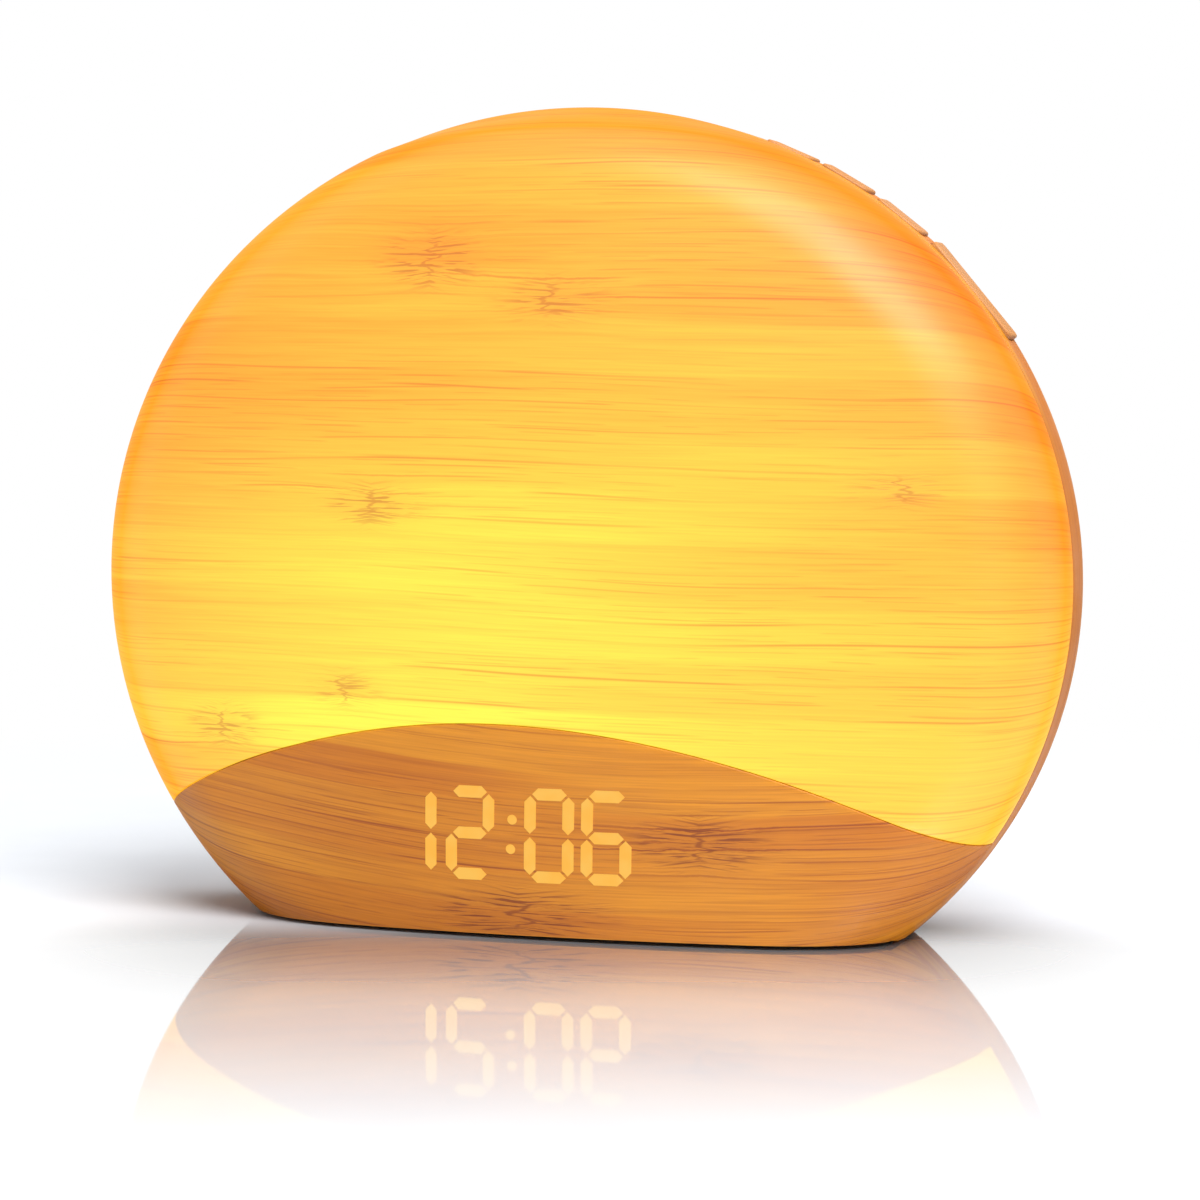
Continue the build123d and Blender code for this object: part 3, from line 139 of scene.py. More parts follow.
def ring_of_points(centre: Pair, radius: float, count: int) -> Array:
    """Closed circle of points round a centre."""
    turn = np.linspace(0.0, 2.0 * np.pi, count, endpoint=False)
    return np.c_[centre[0] + radius * np.sin(turn), centre[1] + radius * np.cos(turn)]


def rounded_rectangle(centre: Pair, size: Pair, corner: float, steps: int = 6) -> Array:
    """Closed outline of a rectangle with round corners.

    Args:
        centre: Middle of the rectangle.
        size: Width and height.
        corner: Corner radius.
        steps: Points per corner arc, less one.

    Returns:
        Points, one row each, turning one way.
    """
    half_x, half_z = size[0] / 2.0 - corner, size[1] / 2.0 - corner
    points = []
    for quarter, (sx, sz) in enumerate(((1, 1), (-1, 1), (-1, -1), (1, -1))):
        turn = np.pi / 2.0 * (quarter + np.linspace(0.0, 1.0, steps + 1))
        points.append(np.c_[sx * half_x + corner * np.cos(turn),
                            sz * half_z + corner * np.sin(turn)])
    return np.vstack(points) + np.asarray(centre)


def turning(loop: Array) -> float:
    """Twice the signed area of a closed loop; positive where it turns to the left."""
    following = np.roll(loop, -1, axis=0)
    return float(np.sum(loop[:, 0] * following[:, 1] - following[:, 0] * loop[:, 1]))


def inside_loops(points: Array, loops: list[Array]) -> Array:
    """Even-odd test of points against closed loops.

    Args:
        points: Points to test, one row each.
        loops: Outlines and holes.

    Returns:
        True where a point lies within the outline and outside its holes.
    """
    crossings = np.zeros(len(points), dtype=int)
    for loop in loops:
        for (x0, z0), (x1, z1) in zip(loop, np.roll(loop, -1, axis=0)):
            if z0 == z1:
                continue
            spans = (points[:, 1] >= min(z0, z1)) & (points[:, 1] < max(z0, z1))
            at = x0 + (points[:, 1] - z0) * (x1 - x0) / (z1 - z0)
            crossings += spans & (points[:, 0] < at)
    return crossings % 2 == 1


def clearance(points: Array, loops: list[Array], block_size: int = 2000) -> Array:
    """Distance from points to the nearest corner of any loop.

    Args:
        points: Points to measure from.
        loops: Closed loops with closely spaced corners.
        block_size: Points measured at a time.

    Returns:
        One distance per point.
    """
    corners = np.vstack(loops)
    nearest = np.full(len(points), np.inf)
    for block in np.array_split(np.arange(len(points)), max(1, len(points) // block_size)):
        gaps = points[block, None, :] - corners[None, :, :]
        nearest[block] = np.sqrt((gaps**2).sum(axis=2).min(axis=1))
    return nearest


def shrink(loop: Array, distance: float, loops: list[Array]) -> Array:
    """Moves a loop into the domain that it bounds.

    Args:
        loop: Closed loop.
        distance: How far its points move.
        loops: All loops of the domain, which tell the inner side.

    Returns:
        The moved loop.
    """
    along = np.roll(loop, -1, axis=0) - np.roll(loop, 1, axis=0)
    along /= np.maximum(np.linalg.norm(along, axis=1), TINY)[:, None]
    side = np.c_[-along[:, 1], along[:, 0]]
    inward = inside_loops(loop + PROBE * side, loops).mean() > 0.5
    return loop + (distance if inward else -distance) * side


# ---------------------------------------------------------------- form of the body
@dataclass(frozen=True)
class Pebble:
    """The closed body: a meridian of arcs turned about the depth axis and squashed in height.

    A chart gives places on it by (p, q): the distance from the apex along the meridian is
    hypot(p, q) and the direction on the face is that of (p, q), q pointing up.
    """

    half_width: float = 95.0
    half_height: float = 89.0
    centre_z: float = 66.0
    half_depth: float = 30.0
    front_edge: float = 20.0
    rear_edge: float = 16.0
    band_start: float = -1.0
    band_end: float = 8.0
    seam: float = 14.0
    base_z: float = 0.8
    wall: float = 2.2

    @property
    def squash(self) -> float:
        """Height over width of the outline."""
        return self.half_height / self.half_width

    @property
    def seam_turn(self) -> float:
        """Angle that the rear edge's rounding has turned by at the seam."""
        return float(np.arcsin((self.seam - self.band_end) / self.rear_edge))

    def dome(self, front: bool) -> Triple:
        """Radius of a dome and the angle and arc length where its edge rounding begins.

        Args:
            front: True for the lit face, False for the rear.

        Returns:
            Dome radius, tangent angle in radians and arc length to it.
        """
        edge = self.front_edge if front else self.rear_edge
        run = self.half_width - edge
        drop = self.half_depth + self.band_start if front else self.half_depth - self.band_end
        radius = (run**2 + drop**2 - edge**2) / (2.0 * (drop - edge))
        tangent = float(np.arctan2(run, radius - drop))
        return radius, tangent, radius * tangent

    @property
    def band_arc(self) -> float:
        """Arc length from the front apex to the start of the band."""
        _, tangent, length = self.dome(True)
        return length + self.front_edge * (np.pi / 2.0 - tangent)

    def seam_arc(self, front: bool) -> float:
        """Arc length from the apex of one side to the seam between housing and cover.

        Args:
            front: True for the lit face, False for the rear.

        Returns:
            The arc length.
        """
        if front:
            band = self.band_end - self.band_start
            return self.band_arc + band + self.rear_edge * self.seam_turn
        _, tangent, length = self.dome(False)
        return length + self.rear_edge * (np.pi / 2.0 - tangent - self.seam_turn)

    def meridian(self, arc: Array, front: bool) -> tuple[Array, Array, Array, Array]:
        """Places and outward normals along the meridian of one side.

        Args:
            arc: Arc lengths from the apex.
            front: True for the lit face, False for the rear.

        Returns:
            Radius, depth, normal's radial part and normal's depth part.
        """
        radius, tangent, dome_arc = self.dome(front)
        edge = self.front_edge if front else self.rear_edge
        side = self.band_start if front else self.band_end
        sign = -1.0 if front else 1.0
        on_dome = arc < dome_arc
        turn = np.where(on_dome, arc / radius, tangent + (arc - dome_arc) / edge)
        turn = np.minimum(turn, np.pi / 2.0)
        rho = np.where(on_dome, radius * np.sin(turn),
                       self.half_width - edge + edge * np.sin(turn))
        y = np.where(on_dome, sign * (self.half_depth - radius * (1.0 - np.cos(turn))),
                     side + sign * edge * np.cos(turn))
        n_rho, n_y = np.sin(turn), sign * np.cos(turn)
        if front:
            along = arc - self.band_arc
            band = self.band_end - self.band_start
            y = np.where(along > 0.0, self.band_start + along, y)
            past = np.maximum(along - band, 0.0) / self.rear_edge
            behind = along > band
            rho = np.where(behind, self.half_width - self.rear_edge * (1.0 - np.cos(past)), rho)
            y = np.where(behind, self.band_end + self.rear_edge * np.sin(past), y)
            n_rho = np.where(behind, np.cos(past), n_rho)
            n_y = np.where(behind, np.sin(past), n_y)
        return rho, y, n_rho, n_y

    def place(self, chart: Array, front: bool) -> tuple[Array, Array]:
        """Points and outward normals for chart coordinates.

        Args:
            chart: (p, q) rows.
            front: True for the lit face's chart, False for the rear's.

        Returns:
            Points and unit normals, one row each.
        """
        arc = np.hypot(chart[:, 0], chart[:, 1])
        rho, y, n_rho, n_y = self.meridian(arc, front)
        across, up = (chart / np.maximum(arc, TINY)[:, None]).T
        points = np.c_[rho * across, y, self.centre_z + rho * up * self.squash]
        normals = np.c_[n_rho * across, n_y, n_rho * up / self.squash]
        return points, normals / np.linalg.norm(normals, axis=1)[:, None]

    def chart_of(self, x: Array, z: Array, front: bool) -> Array:
        """Chart coordinates of face points seen at (x, z).

        Args:
            x: Across.
            z: Up.
            front: True for the lit face, False for the rear.

        Returns:
            (p, q) rows.
        """
        radius, tangent, dome_arc = self.dome(front)
        edge = self.front_edge if front else self.rear_edge
        up = (np.asarray(z, float) - self.centre_z) / self.squash
        rho = np.hypot(x, up)
        reach = np.clip((rho - self.half_width + edge) / edge, 0.0, 1.0)
        arc = np.where(rho < radius * np.sin(tangent),
                       radius * np.arcsin(np.minimum(rho / radius, 1.0)),
                       dome_arc + edge * (np.arcsin(reach) - tangent))
        scale = arc / np.maximum(rho, TINY)
        return np.c_[x * scale, up * scale]

    def skin_depth(self, outline: Array, front: bool) -> Array:
        """Depth coordinate of one side's skin at (x, z) rows."""
        chart = self.chart_of(outline[:, 0], outline[:, 1], front)
        return self.place(chart, front)[0][:, 1]

    def base_cut(self, front: bool, count: int = 160) -> Array:
        """Chart curve where the flat base trims one side, from -X to +X.

        Args:
            front: True for the lit side, which runs to the seam.
            count: Number of points.

        Returns:
            (p, q) rows; the arc length is found by halving on each direction.
        """
        limit = self.seam_arc(front)
        rho_seam = float(self.meridian(np.array([limit]), front)[0][0])
        half = float(np.arccos((self.centre_z - self.base_z) / self.squash / rho_seam))
        turn = np.pi + np.linspace(half, -half, count)
        low, high = np.zeros(count), np.full(count, limit)
        for _ in range(HALVINGS):
            middle = (low + high) / 2.0
            rho = self.meridian(middle, front)[0]
            below = self.centre_z + rho * np.cos(turn) * self.squash < self.base_z
            high = np.where(below, middle, high)
            low = np.where(below, low, middle)
        return np.c_[high * np.sin(turn), high * np.cos(turn)]


PEBBLE = Pebble()


@dataclass(frozen=True)
class WaveLine:
    """Crest line between lit panel and fascia: a smooth curve through a few heights."""

    knots_x: tuple[float, ...] = (-104.0, -76.6, -48.0, -12.5, 20.0, 53.4, 80.0, 104.0)
    knots_z: tuple[float, ...] = (0.0, 23.4, 35.0, 40.5, 38.0, 29.0, 19.0, 15.0)
    spacing: float = 0.8
    samples: int = 4
    rim_gap: float = 0.02

    def height(self, x: Array) -> Array:
        """Height of the line: a cubic spline with free second derivatives at both ends.

        Args:
            x: Across.

        Returns:
            Heights.
        """
        kx, kz = np.array(self.knots_x), np.array(self.knots_z)
        step = np.diff(kx)
        count = len(kx)
        system, right = np.zeros((count, count)), np.zeros(count)
        system[0, :3] = step[1], -(step[0] + step[1]), step[0]
        system[-1, -3:] = step[-1], -(step[-2] + step[-1]), step[-2]
        for i in range(1, count - 1):
            system[i, i - 1:i + 2] = step[i - 1], 2.0 * (step[i - 1] + step[i]), step[i]
            right[i] = 6.0 * ((kz[i + 1] - kz[i]) / step[i] - (kz[i] - kz[i - 1]) / step[i - 1])
        bend = np.linalg.solve(system, right)
        i = np.clip(np.searchsorted(kx, x) - 1, 0, count - 2)
        a, b, h = kx[i + 1] - x, x - kx[i], step[i]
        return (bend[i] * a**3 + bend[i + 1] * b**3) / (6.0 * h) \
            + (kz[i] / h - bend[i] * h / 6.0) * a + (kz[i + 1] / h - bend[i + 1] * h / 6.0) * b

    def chart_curve(self, form: Pebble) -> Array:
        """The line on the front chart, from the left rim to the right rim.

        Args:
            form: The body.

        Returns:
            (p, q) rows whose ends lie on the start of the band.
        """
        x = np.arange(-form.half_width, form.half_width + self.spacing,
                      self.spacing / self.samples)
        z = self.height(x)
        keep = np.hypot(x, (z - form.centre_z) / form.squash) < form.half_width - self.rim_gap
        chart = form.chart_of(x[keep], z[keep], True)[::self.samples]
        first, last = (point / np.hypot(*point) * form.band_arc for point in chart[[0, -1]])
        return np.vstack([first, chart, last])


# ---------------------------------------------------------------- meshes
@dataclass
class Surface:
    """Corner points and faces with values carried by each corner point."""

    points: Array
    faces: list[Face]
    grain: Array
    glow: Array
    knots: Array

    def mesh_object(self, name: str) -> bpy.types.Object:
        """Makes a smooth-shaded mesh with a grain map and glow and knot attributes.

        Args:
            name: Name of the object.

        Returns:
            The new object, linked to the scene.
        """
        mesh = bpy.data.meshes.new(name)
        mesh.from_pydata((self.points * MM).tolist(), [], self.faces)
        mesh.update()
        mesh.polygons.foreach_set("use_smooth", np.ones(len(mesh.polygons), dtype=bool))
        layer = mesh.uv_layers.new(name="grain")
        corners = np.zeros(len(mesh.loops), dtype=np.int32)
        mesh.loops.foreach_get("vertex_index", corners)
        layer.data.foreach_set("uv", (self.grain[corners] * GRAIN_UNIT).astype(np.float32).ravel())
        values = np.c_[self.glow, self.knots].astype(np.float32).T
        for label, column in zip(("glow", "knot", "knot_along", "knot_across"), values):
            attribute = mesh.attributes.new(label, "FLOAT", "POINT")
            attribute.data.foreach_set("value", np.ascontiguousarray(column))
        mesh.set_sharp_from_angle(angle=np.radians(SHARP_DEGREES))
        mesh.validate()
        return linked(name, mesh)


def linked(name: str, data: bpy.types.ID) -> bpy.types.Object:
    """Makes an object and links it to the scene.

    Args:
        name: Name of the object.
        data: Its mesh, light or camera.

    Returns:
        The new object.
    """
    made = bpy.data.objects.new(name, data)
    bpy.context.scene.collection.objects.link(made)
    return made


def merge(parts: list[Surface]) -> Surface:
    """Puts several surfaces into one.

    Args:
        parts: Surfaces to join.

    Returns:
        One surface with all faces.
    """
    faces: list[Face] = []
    offset = 0
    for part in parts:
        faces += [tuple(index + offset for index in face) for face in part.faces]
        offset += len(part.points)
    return Surface(np.vstack([part.points for part in parts]), faces,
                   np.vstack([part.grain for part in parts]),
                   np.concatenate([part.glow for part in parts]),
                   np.vstack([part.knots for part in parts]))


def plain(points: Array, faces: list[Face], grain: Array | None = None) -> Surface:
    """Surface without glow or knots; its grain follows width and height unless given."""
    flat = points[:, [0, 2]] if grain is None else grain
    return Surface(points, faces, flat, np.zeros(len(points)), np.zeros((len(points), 3)))


def loft(count: int, rows: int, flipped: bool) -> list[Face]:
    """Faces of a closed solid made of stacked rings with equally many corners.

    Args:
        count: Corners of each ring.
        rows: Number of rings.
        flipped: Turn every face over.

    Returns:
        Faces between neighbouring rings, then those that close the last and the first ring.
    """
    faces: list[Face] = []
    for start in range(0, (rows - 1) * count, count):
        for i in range(count):
            j = (i + 1) % count
            faces.append((start + i, start + j, start + count + j, start + count + i))
    last = (rows - 1) * count
    faces += [tuple(range(last, last + count)), tuple(range(count))[::-1]]
    return [face[::-1] for face in faces] if flipped else faces


def slab(outline: Array, low: float, high: float) -> Surface:
    """Flat plate between two levels.

    Args:
        outline: (x, y) corners.
        low: Lower level.
        high: Upper level.

    Returns:
        Closed plate.
    """
    count = len(outline)
    points = np.vstack([np.c_[outline, np.full(count, level)] for level in (low, high)])
    return plain(points, loft(count, 2, turning(outline) <= 0.0), points[:, :2])


def pocket(loop: Array, top: Array, floor: float, wall: float) -> Surface:
    """Open pocket that leads from the rear skin inwards: a wall and a floor.

    Args:
        loop: (x, z) outline of the opening.
        top: Depth coordinate of the pocket's rim at each outline point.
        floor: Depth coordinate of the pocket's floor.
        wall: Thickness of floor and wall.

    Returns:
        Closed cup.
    """
    away = loop - loop.mean(axis=0)
    wide = loop + wall * away / np.linalg.norm(away, axis=1)[:, None]
    count = len(loop)
    level = np.full(count, floor)
    rings = ((loop, top), (loop, level), (wide, top), (wide, level - wall))
    points = np.vstack([np.c_[ring[:, 0], depth, ring[:, 1]] for ring, depth in rings])
    order = list(range(count))
    if turning(loop) <= 0.0:
        order.reverse()
    faces: list[Face] = [tuple(i + count for i in order[::-1]),
                         tuple(i + 3 * count for i in order)]
    for i, j in zip(order, order[1:] + order[:1]):
        faces.append((j, i, i + count, j + count))
        faces.append((i, j, j + 2 * count, i + 2 * count))
        faces.append((i + 2 * count, j + 2 * count, j + 3 * count, i + 3 * count))
    return plain(points, faces)


# ---------------------------------------------------------------- print and light on the skin
@dataclass(frozen=True)
class KnotMark:
    """One node of the bamboo print."""

    x: float
    z: float
    reach_x: float
    reach_z: float
    strength: float

    def offsets(self, chart: Array, form: Pebble) -> tuple[Array, Array]:
        """Offsets of chart points from the node, along and across, in its own reaches."""
        (p, q), = form.chart_of(np.array([self.x]), np.array([self.z]), True)
        return (chart[:, 0] - p) / self.reach_x, (chart[:, 1] - q) / self.reach_z


@dataclass(frozen=True)
class GrainField:
    """Course of the printed grain over a face and the places of its nodes.

    The grain coordinate across the fibres is q + slope * p - bow * (p - crest)^2 plus slow
    waves; near a node the fibres bow round it, which adds bulge * exp(-r^2) times the offset.
    """

    slope: float
    marks: tuple[KnotMark, ...]
    bow: float = 0.0
    crest: float = 15.0
    bulge: float = 0.275
    waves: tuple[Triple, ...] = ((0.5, 41.0, 60.0), (0.2, 17.0, -23.0))
    form: Pebble = PEBBLE

    def map(self, chart: Array, front: bool) -> Array:
        """Grain coordinates.

        Args:
            chart: (p, q) rows.
            front: True for the lit face, which alone has nodes.

        Returns:
            (along, across) rows in millimetres.
        """
        p, q = chart[:, 0], chart[:, 1]
        across = q + self.slope * p - self.bow * (p - self.crest) ** 2
        for height, length_p, length_q in self.waves:
            across = across + height * np.sin(p / length_p + q / length_q)
        for mark in self.marks if front else ():
            dx, dz = mark.offsets(chart, self.form)
            swell = self.bulge * mark.strength * mark.reach_z
            across = across + swell * dz * np.exp(-(dx**2 + dz**2))
        return np.c_[p, across]

    def knots(self, chart: Array) -> Array:
        """How strongly each place belongs to its strongest node, and where it lies in it.

        Args:
            chart: (p, q) rows on the front.

        Returns:
            Strength, offset along and offset across in node reaches, one row per place.
        """
        value = np.zeros((len(chart), 3))
        for mark in self.marks:
            dx, dz = mark.offsets(chart, self.form)
            here = mark.strength * np.exp(-(dx**2 + dz**2))
            value = np.where((here > value[:, 0])[:, None], np.c_[here, dx, dz], value)
        return value


@dataclass(frozen=True)
class Glow:
    """Soft patch of light: strength * exp(-(dx / reach_x)^2 - (dz / reach_z)^2)."""

    strength: float
    x: float
    z: float
    reach_x: float
    reach_z: float

    def at(self, x: Array, z: Array) -> Array:
        """Its brightness at (x, z)."""
        return self.strength * np.exp(-((x - self.x) / self.reach_x) ** 2
                                      - ((z - self.z) / self.reach_z) ** 2)


@dataclass(frozen=True)
class Backlight:
    """Brightness of the lamp behind the opal panel, from 0 to 1.

    A broad patch lies round the lamp's middle and another low on the right.  The crown is a
    little paler, and the rim falls off, most of all at the upper right.
    """

    base: float = 0.21
    patches: tuple[Glow, ...] = (Glow(0.56, -30.0, 54.0, 66.0, 44.0),
                                 Glow(0.41, 58.0, 0.0, 100.0, 115.0))
    crown: float = 0.10
    crown_from: Pair = (110.0, 150.0)
    rim: float = 0.04
    rim_from: Pair = (83.0, 95.0)
    rim_right: float = 0.02
    right_from: Pair = (50.0, 90.0)
    rim_upper: float = 0.26
    upper_from: Pair = (72.0, 104.0)

    def level(self, points: Array) -> Array:
        """Brightness at places on the front.

        Args:
            points: Places, one row each.

        Returns:
            Values from 0 (rim) to 1 (brightest).
        """
        x, z = points[:, 0], points[:, 2]
        rho = np.hypot(x, (z - PEBBLE.centre_z) / PEBBLE.squash)
        fall = self.rim + self.rim_right * smoothstep(x, *self.right_from) \
            + self.rim_upper * smoothstep((x + z) / 2.0, *self.upper_from)
        light = self.base + sum(patch.at(x, z) for patch in self.patches)
        light = light + self.crown * smoothstep(z, *self.crown_from)
        return np.clip(light - fall * smoothstep(rho, *self.rim_from), 0.0, 1.0)


@dataclass
class TrimmedSheet:
    """Part of the pebble's skin inside closed chart loops, with thickness and rounded edges.

    Each loop is repeated at growing distances d from the edge.  There the skin sinks by
    r - sqrt(r^2 - (r - d)^2), which rounds the edge with radius r.  The loops and a staggered
    grid of points between them are joined by a constrained Delaunay triangulation.
    """

    front: bool
    loops: list[Array]
    edge_radius: list[float]
    spacing: float = 1.7
    form: Pebble = PEBBLE
    backlight: Backlight = Backlight()
    rounding: tuple[float, ...] = (0.0, 30.0, 60.0, 90.0)
    row_share: float = 0.87
    keep_off: float = 0.62
    slack: float = 1e-7

    def rings(self) -> tuple[list[Array], list[Array]]:
        """Repeats every loop for its rounded edge.

        Returns:
            Rings and their sinks; the first ring of each loop is the edge itself.
        """
        rings, sinks = [], []
        for loop, radius in zip(self.loops, self.edge_radius):
            for turn in np.radians(self.rounding):
                distance = radius * (1.0 - np.cos(turn))
                rings.append(shrink(loop, distance, self.loops) if distance > 0.0 else loop)
                sinks.append(np.full(len(loop), radius * (1.0 - np.sin(turn))))
        return rings, sinks

    def grid(self, rings: list[Array]) -> Array:
        """Staggered points inside the loops, clear of the rings.

        Args:
            rings: The loops with their repeats.

        Returns:
            (p, q) rows.
        """
        limit = np.abs(np.vstack(self.loops)).max() + self.spacing
        steps = np.arange(-limit, limit, self.spacing)
        grid_p, grid_q = np.meshgrid(steps, steps * self.row_share)
        even = np.arange(len(steps)) % 2 == 0
        grid_p = grid_p + np.where(even, 0.0, self.spacing / 2.0)[:, None]
        grid = np.c_[grid_p.ravel(), grid_q.ravel()]
        grid = grid[inside_loops(grid, self.loops)]
        return grid[clearance(grid, rings) > self.keep_off * self.spacing]

    def triangles(self, chart: Array, rings: list[Array]) -> Array:
        """Joins all points of the sheet; the rings stay edges.

        Args:
            chart: (p, q) rows, those of the rings first.
            rings: The loops with their repeats.

        Returns:
            Corner numbers, one row per triangle, all facing outwards.
        """
        edges: list[tuple[int, int]] = []
        start = 0
        for count in map(len, rings):
            edges += [(start + i, start + (i + 1) % count) for i in range(count)]
            start += count
        corners = [Vector(row) for row in chart.tolist()]
        found = delaunay_2d_cdt(corners, edges, [], 0, self.slack)
        origin = np.array([source[0] for source in found[3]], dtype=int)
        triangles = origin[np.array([tuple(face) for face in found[2]], dtype=int)]
        triangles = triangles[inside_loops(chart[triangles].mean(axis=1), self.loops)]
        a, b, c = (chart[triangles[:, i]] for i in range(3))
        turn = (b[:, 0] - a[:, 0]) * (c[:, 1] - a[:, 1]) \
            - (b[:, 1] - a[:, 1]) * (c[:, 0] - a[:, 0])
        over = (turn < 0.0) == self.front
        return np.where(over[:, None], triangles[:, ::-1], triangles)

    def build(self, grain: GrainField) -> Surface:
        """Triangulates the sheet and gives it its inner face and its edge walls.

        Args:
            grain: Course of the grain.

        Returns:
            The closed surface.
        """
        rings, sinks = self.rings()
        grid = self.grid(rings)
        chart = np.vstack(rings + [grid])
        sink = np.concatenate(sinks + [np.zeros(len(grid))])
        triangles = self.triangles(chart, rings)
        points, normals = self.form.place(chart, self.front)
        outer = points - normals * sink[:, None]
        inner = points - normals * self.form.wall
        count = len(chart)
        faces = [tuple(row) for row in triangles.tolist()]
        faces += [tuple(row) for row in (triangles[:, ::-1] + count).tolist()]
        directed = {(int(face[i]), int(face[i - 2])) for face in triangles for i in range(3)}
        faces += [(j, i, i + count, j + count) for i, j in directed if (j, i) not in directed]
        mapped = grain.map(chart, self.front)
        glow = self.backlight.level(points) if self.front else np.zeros(count)
        knots = grain.knots(chart) if self.front else np.zeros((count, 3))
        return Surface(np.vstack([outer, inner]), faces, np.vstack([mapped, mapped]),
                       np.concatenate([glow, glow]), np.vstack([knots, knots]))


# ---------------------------------------------------------------- node materials
class Graph:
    """Typed helper over one node tree, which it empties first."""

    def __init__(self, tree: bpy.types.NodeTree) -> None:
        """Takes over a node tree."""
        self.tree = tree
        tree.nodes.clear()

    def feed(self, target: Socket, value: object) -> None:
        """Links a socket or sets a constant.

        Args:
            target: Input socket.
            value: Output socket or constant.
        """
        if isinstance(value, Socket):
            self.tree.links.new(value, target)
        else:
            target.default_value = value

    def node(self, kind: str, inputs: dict[int | str, object] | None = None,
             **settings: object) -> bpy.types.Node:
        """Adds a node.

        Args:
            kind: Blender's name of its type, without the first part.
            inputs: Output socket or constant for each input, by its name or place.
            **settings: Properties of the node, set first.

        Returns:
            The node.
        """
        made = self.tree.nodes.new(f"ShaderNode{kind}")
        for label, value in settings.items():
            setattr(made, label, value)
        for place, value in (inputs or {}).items():
            self.feed(made.inputs[place], value)
        return made

    def math(self, operation: str, first: object, second: object = 0.0,
             clamp: bool = False) -> Socket:
        """Scalar operation on two values, kept between 0 and 1 where clamp is set."""
        inputs = {0: first, 1: second}
        return self.node("Math", inputs, operation=operation, use_clamp=clamp).outputs[0]

    def times(self, first: object, second: object) -> Socket:
        """Product of two values."""
        return self.math("MULTIPLY", first, second)

    def spread(self, value: object, low: float, high: float, to_low: float = 0.0,
               to_high: float = 1.0) -> Socket:
        """Maps a range smoothly onto another.

        Args:
            value: Input.
            low: Start of the range.
            high: End of the range.
            to_low: Result at the start.
            to_high: Result at the end.

        Returns:
            The result.
        """
        inputs = {"Value": value, "From Min": low, "From Max": high,
                  "To Min": to_low, "To Max": to_high}
        return self.node("MapRange", inputs, interpolation_type="SMOOTHSTEP").outputs["Result"]

    def blend(self, factor: object, first: object, second: object, mode: str = "MIX") -> Socket:
        """Mixes two colours; the factor is the share of the second."""
        inputs = {0: factor, 6: first, 7: second}
        return self.node("Mix", inputs, data_type="RGBA", blend_type=mode).outputs[2]

    def ramp(self, factor: object, stops: tuple[tuple[float, Rgba], ...]) -> Socket:
        """Colour along a scale.

        Args:
            factor: Place on the scale.
            stops: Positions with their colours.

        Returns:
            The colour.
        """
        node = self.node("ValToRGB", {"Fac": factor})
        elements = node.color_ramp.elements
        while len(elements) < len(stops):
            elements.new(0.5)
        for element, (position, colour) in zip(elements, stops):
            element.position = position
            element.color = colour
        return node.outputs["Color"]

    def attribute(self, name: str) -> Socket:
        """Value that the mesh carries under a name."""
        return self.node("Attribute", attribute_name=name).outputs["Fac"]

    def grain_map(self) -> Socket:
        """Grain coordinates of the mesh in units of 100 mm."""
        return self.node("UVMap", uv_map="grain").outputs["UV"]

    def object_map(self) -> Socket:
        """Object coordinates in metres."""
        return self.node("TexCoord").outputs["Object"]

    def combine(self, x: object, y: object, z: object = 0.0) -> Socket:
        """Vector of three values."""
        return self.node("CombineXYZ", {"X": x, "Y": y, "Z": z}).outputs[0]

    def split(self, vector: object) -> list[Socket]:
        """The three values of a vector."""
        return list(self.node("SeparateXYZ", {0: vector}).outputs)

    def add_vectors(self, first: object, second: object) -> Socket:
        """Sum of two vectors."""
        return self.node("VectorMath", {0: first, 1: second}, operation="ADD").outputs[0]

    def stretch(self, vector: object, scale: Triple, move: Triple = (0.0, 0.0, 0.0)) -> Socket:
        """Coordinates scaled, then shifted."""
        inputs = {"Vector": vector, "Scale": scale, "Location": move}
        return self.node("Mapping", inputs).outputs["Vector"]

    def noise(self, vector: object, detail: float, rough: float = 0.5, twist: float = 0.0,
              scale: float = 1.0) -> Socket:
        """Smooth noise.

        Args:
            vector: Coordinates.
            detail: Octaves.
            rough: Weight of the finer octaves.
            twist: Distortion.
            scale: Frequency.

        Returns:
            Noise value about 0.5.
        """
        inputs = {"Vector": vector, "Scale": scale, "Detail": detail, "Roughness": rough,
                  "Distortion": twist}
        return self.node("TexNoise", inputs).outputs["Fac"]

    def bump(self, height: object, strength: float, distance: float) -> Socket:
        """Normal disturbed by a height, of which one unit is a distance in metres."""
        inputs = {"Height": height, "Strength": strength, "Distance": distance}
        return self.node("Bump", inputs).outputs["Normal"]

    def seen_by(self, *kinds: str) -> Socket:
        """Tells rays that see a surface from those that it only lights.

        Args:
            *kinds: Kinds of ray that see it besides the camera's.

        Returns:
            1 for rays that see it, else 0.
        """
        rays = self.node("LightPath").outputs
        seen = rays["Is Camera Ray"]
        for kind in kinds:
            seen = self.math("MAXIMUM", seen, rays[f"Is {kind} Ray"])
        return seen

    def mix_shaders(self, share: object, first: Socket, second: Socket) -> Socket:
        """Mixes two shaders; the share is that of the second."""
        return self.node("MixShader", {0: share, 1: first, 2: second}).outputs[0]


class MaterialGraph(Graph):
    """Node tree of a new material with one shader."""

    def __init__(self, name: str) -> None:
        """Makes the material.

        Args:
            name: Name of the material.
        """
        self.material = bpy.data.materials.new(name)
        self.material.use_nodes = True
        super().__init__(self.material.node_tree)
        self.shader = self.node("BsdfPrincipled")
        self.output = self.node("OutputMaterial", {"Surface": self.shader.outputs["BSDF"]})

    def set(self, **values: object) -> None:
        """Feeds the shader's inputs, named with underscores for spaces."""
        for label, value in values.items():
            self.feed(self.shader.inputs[label.replace("_", " ")], value)


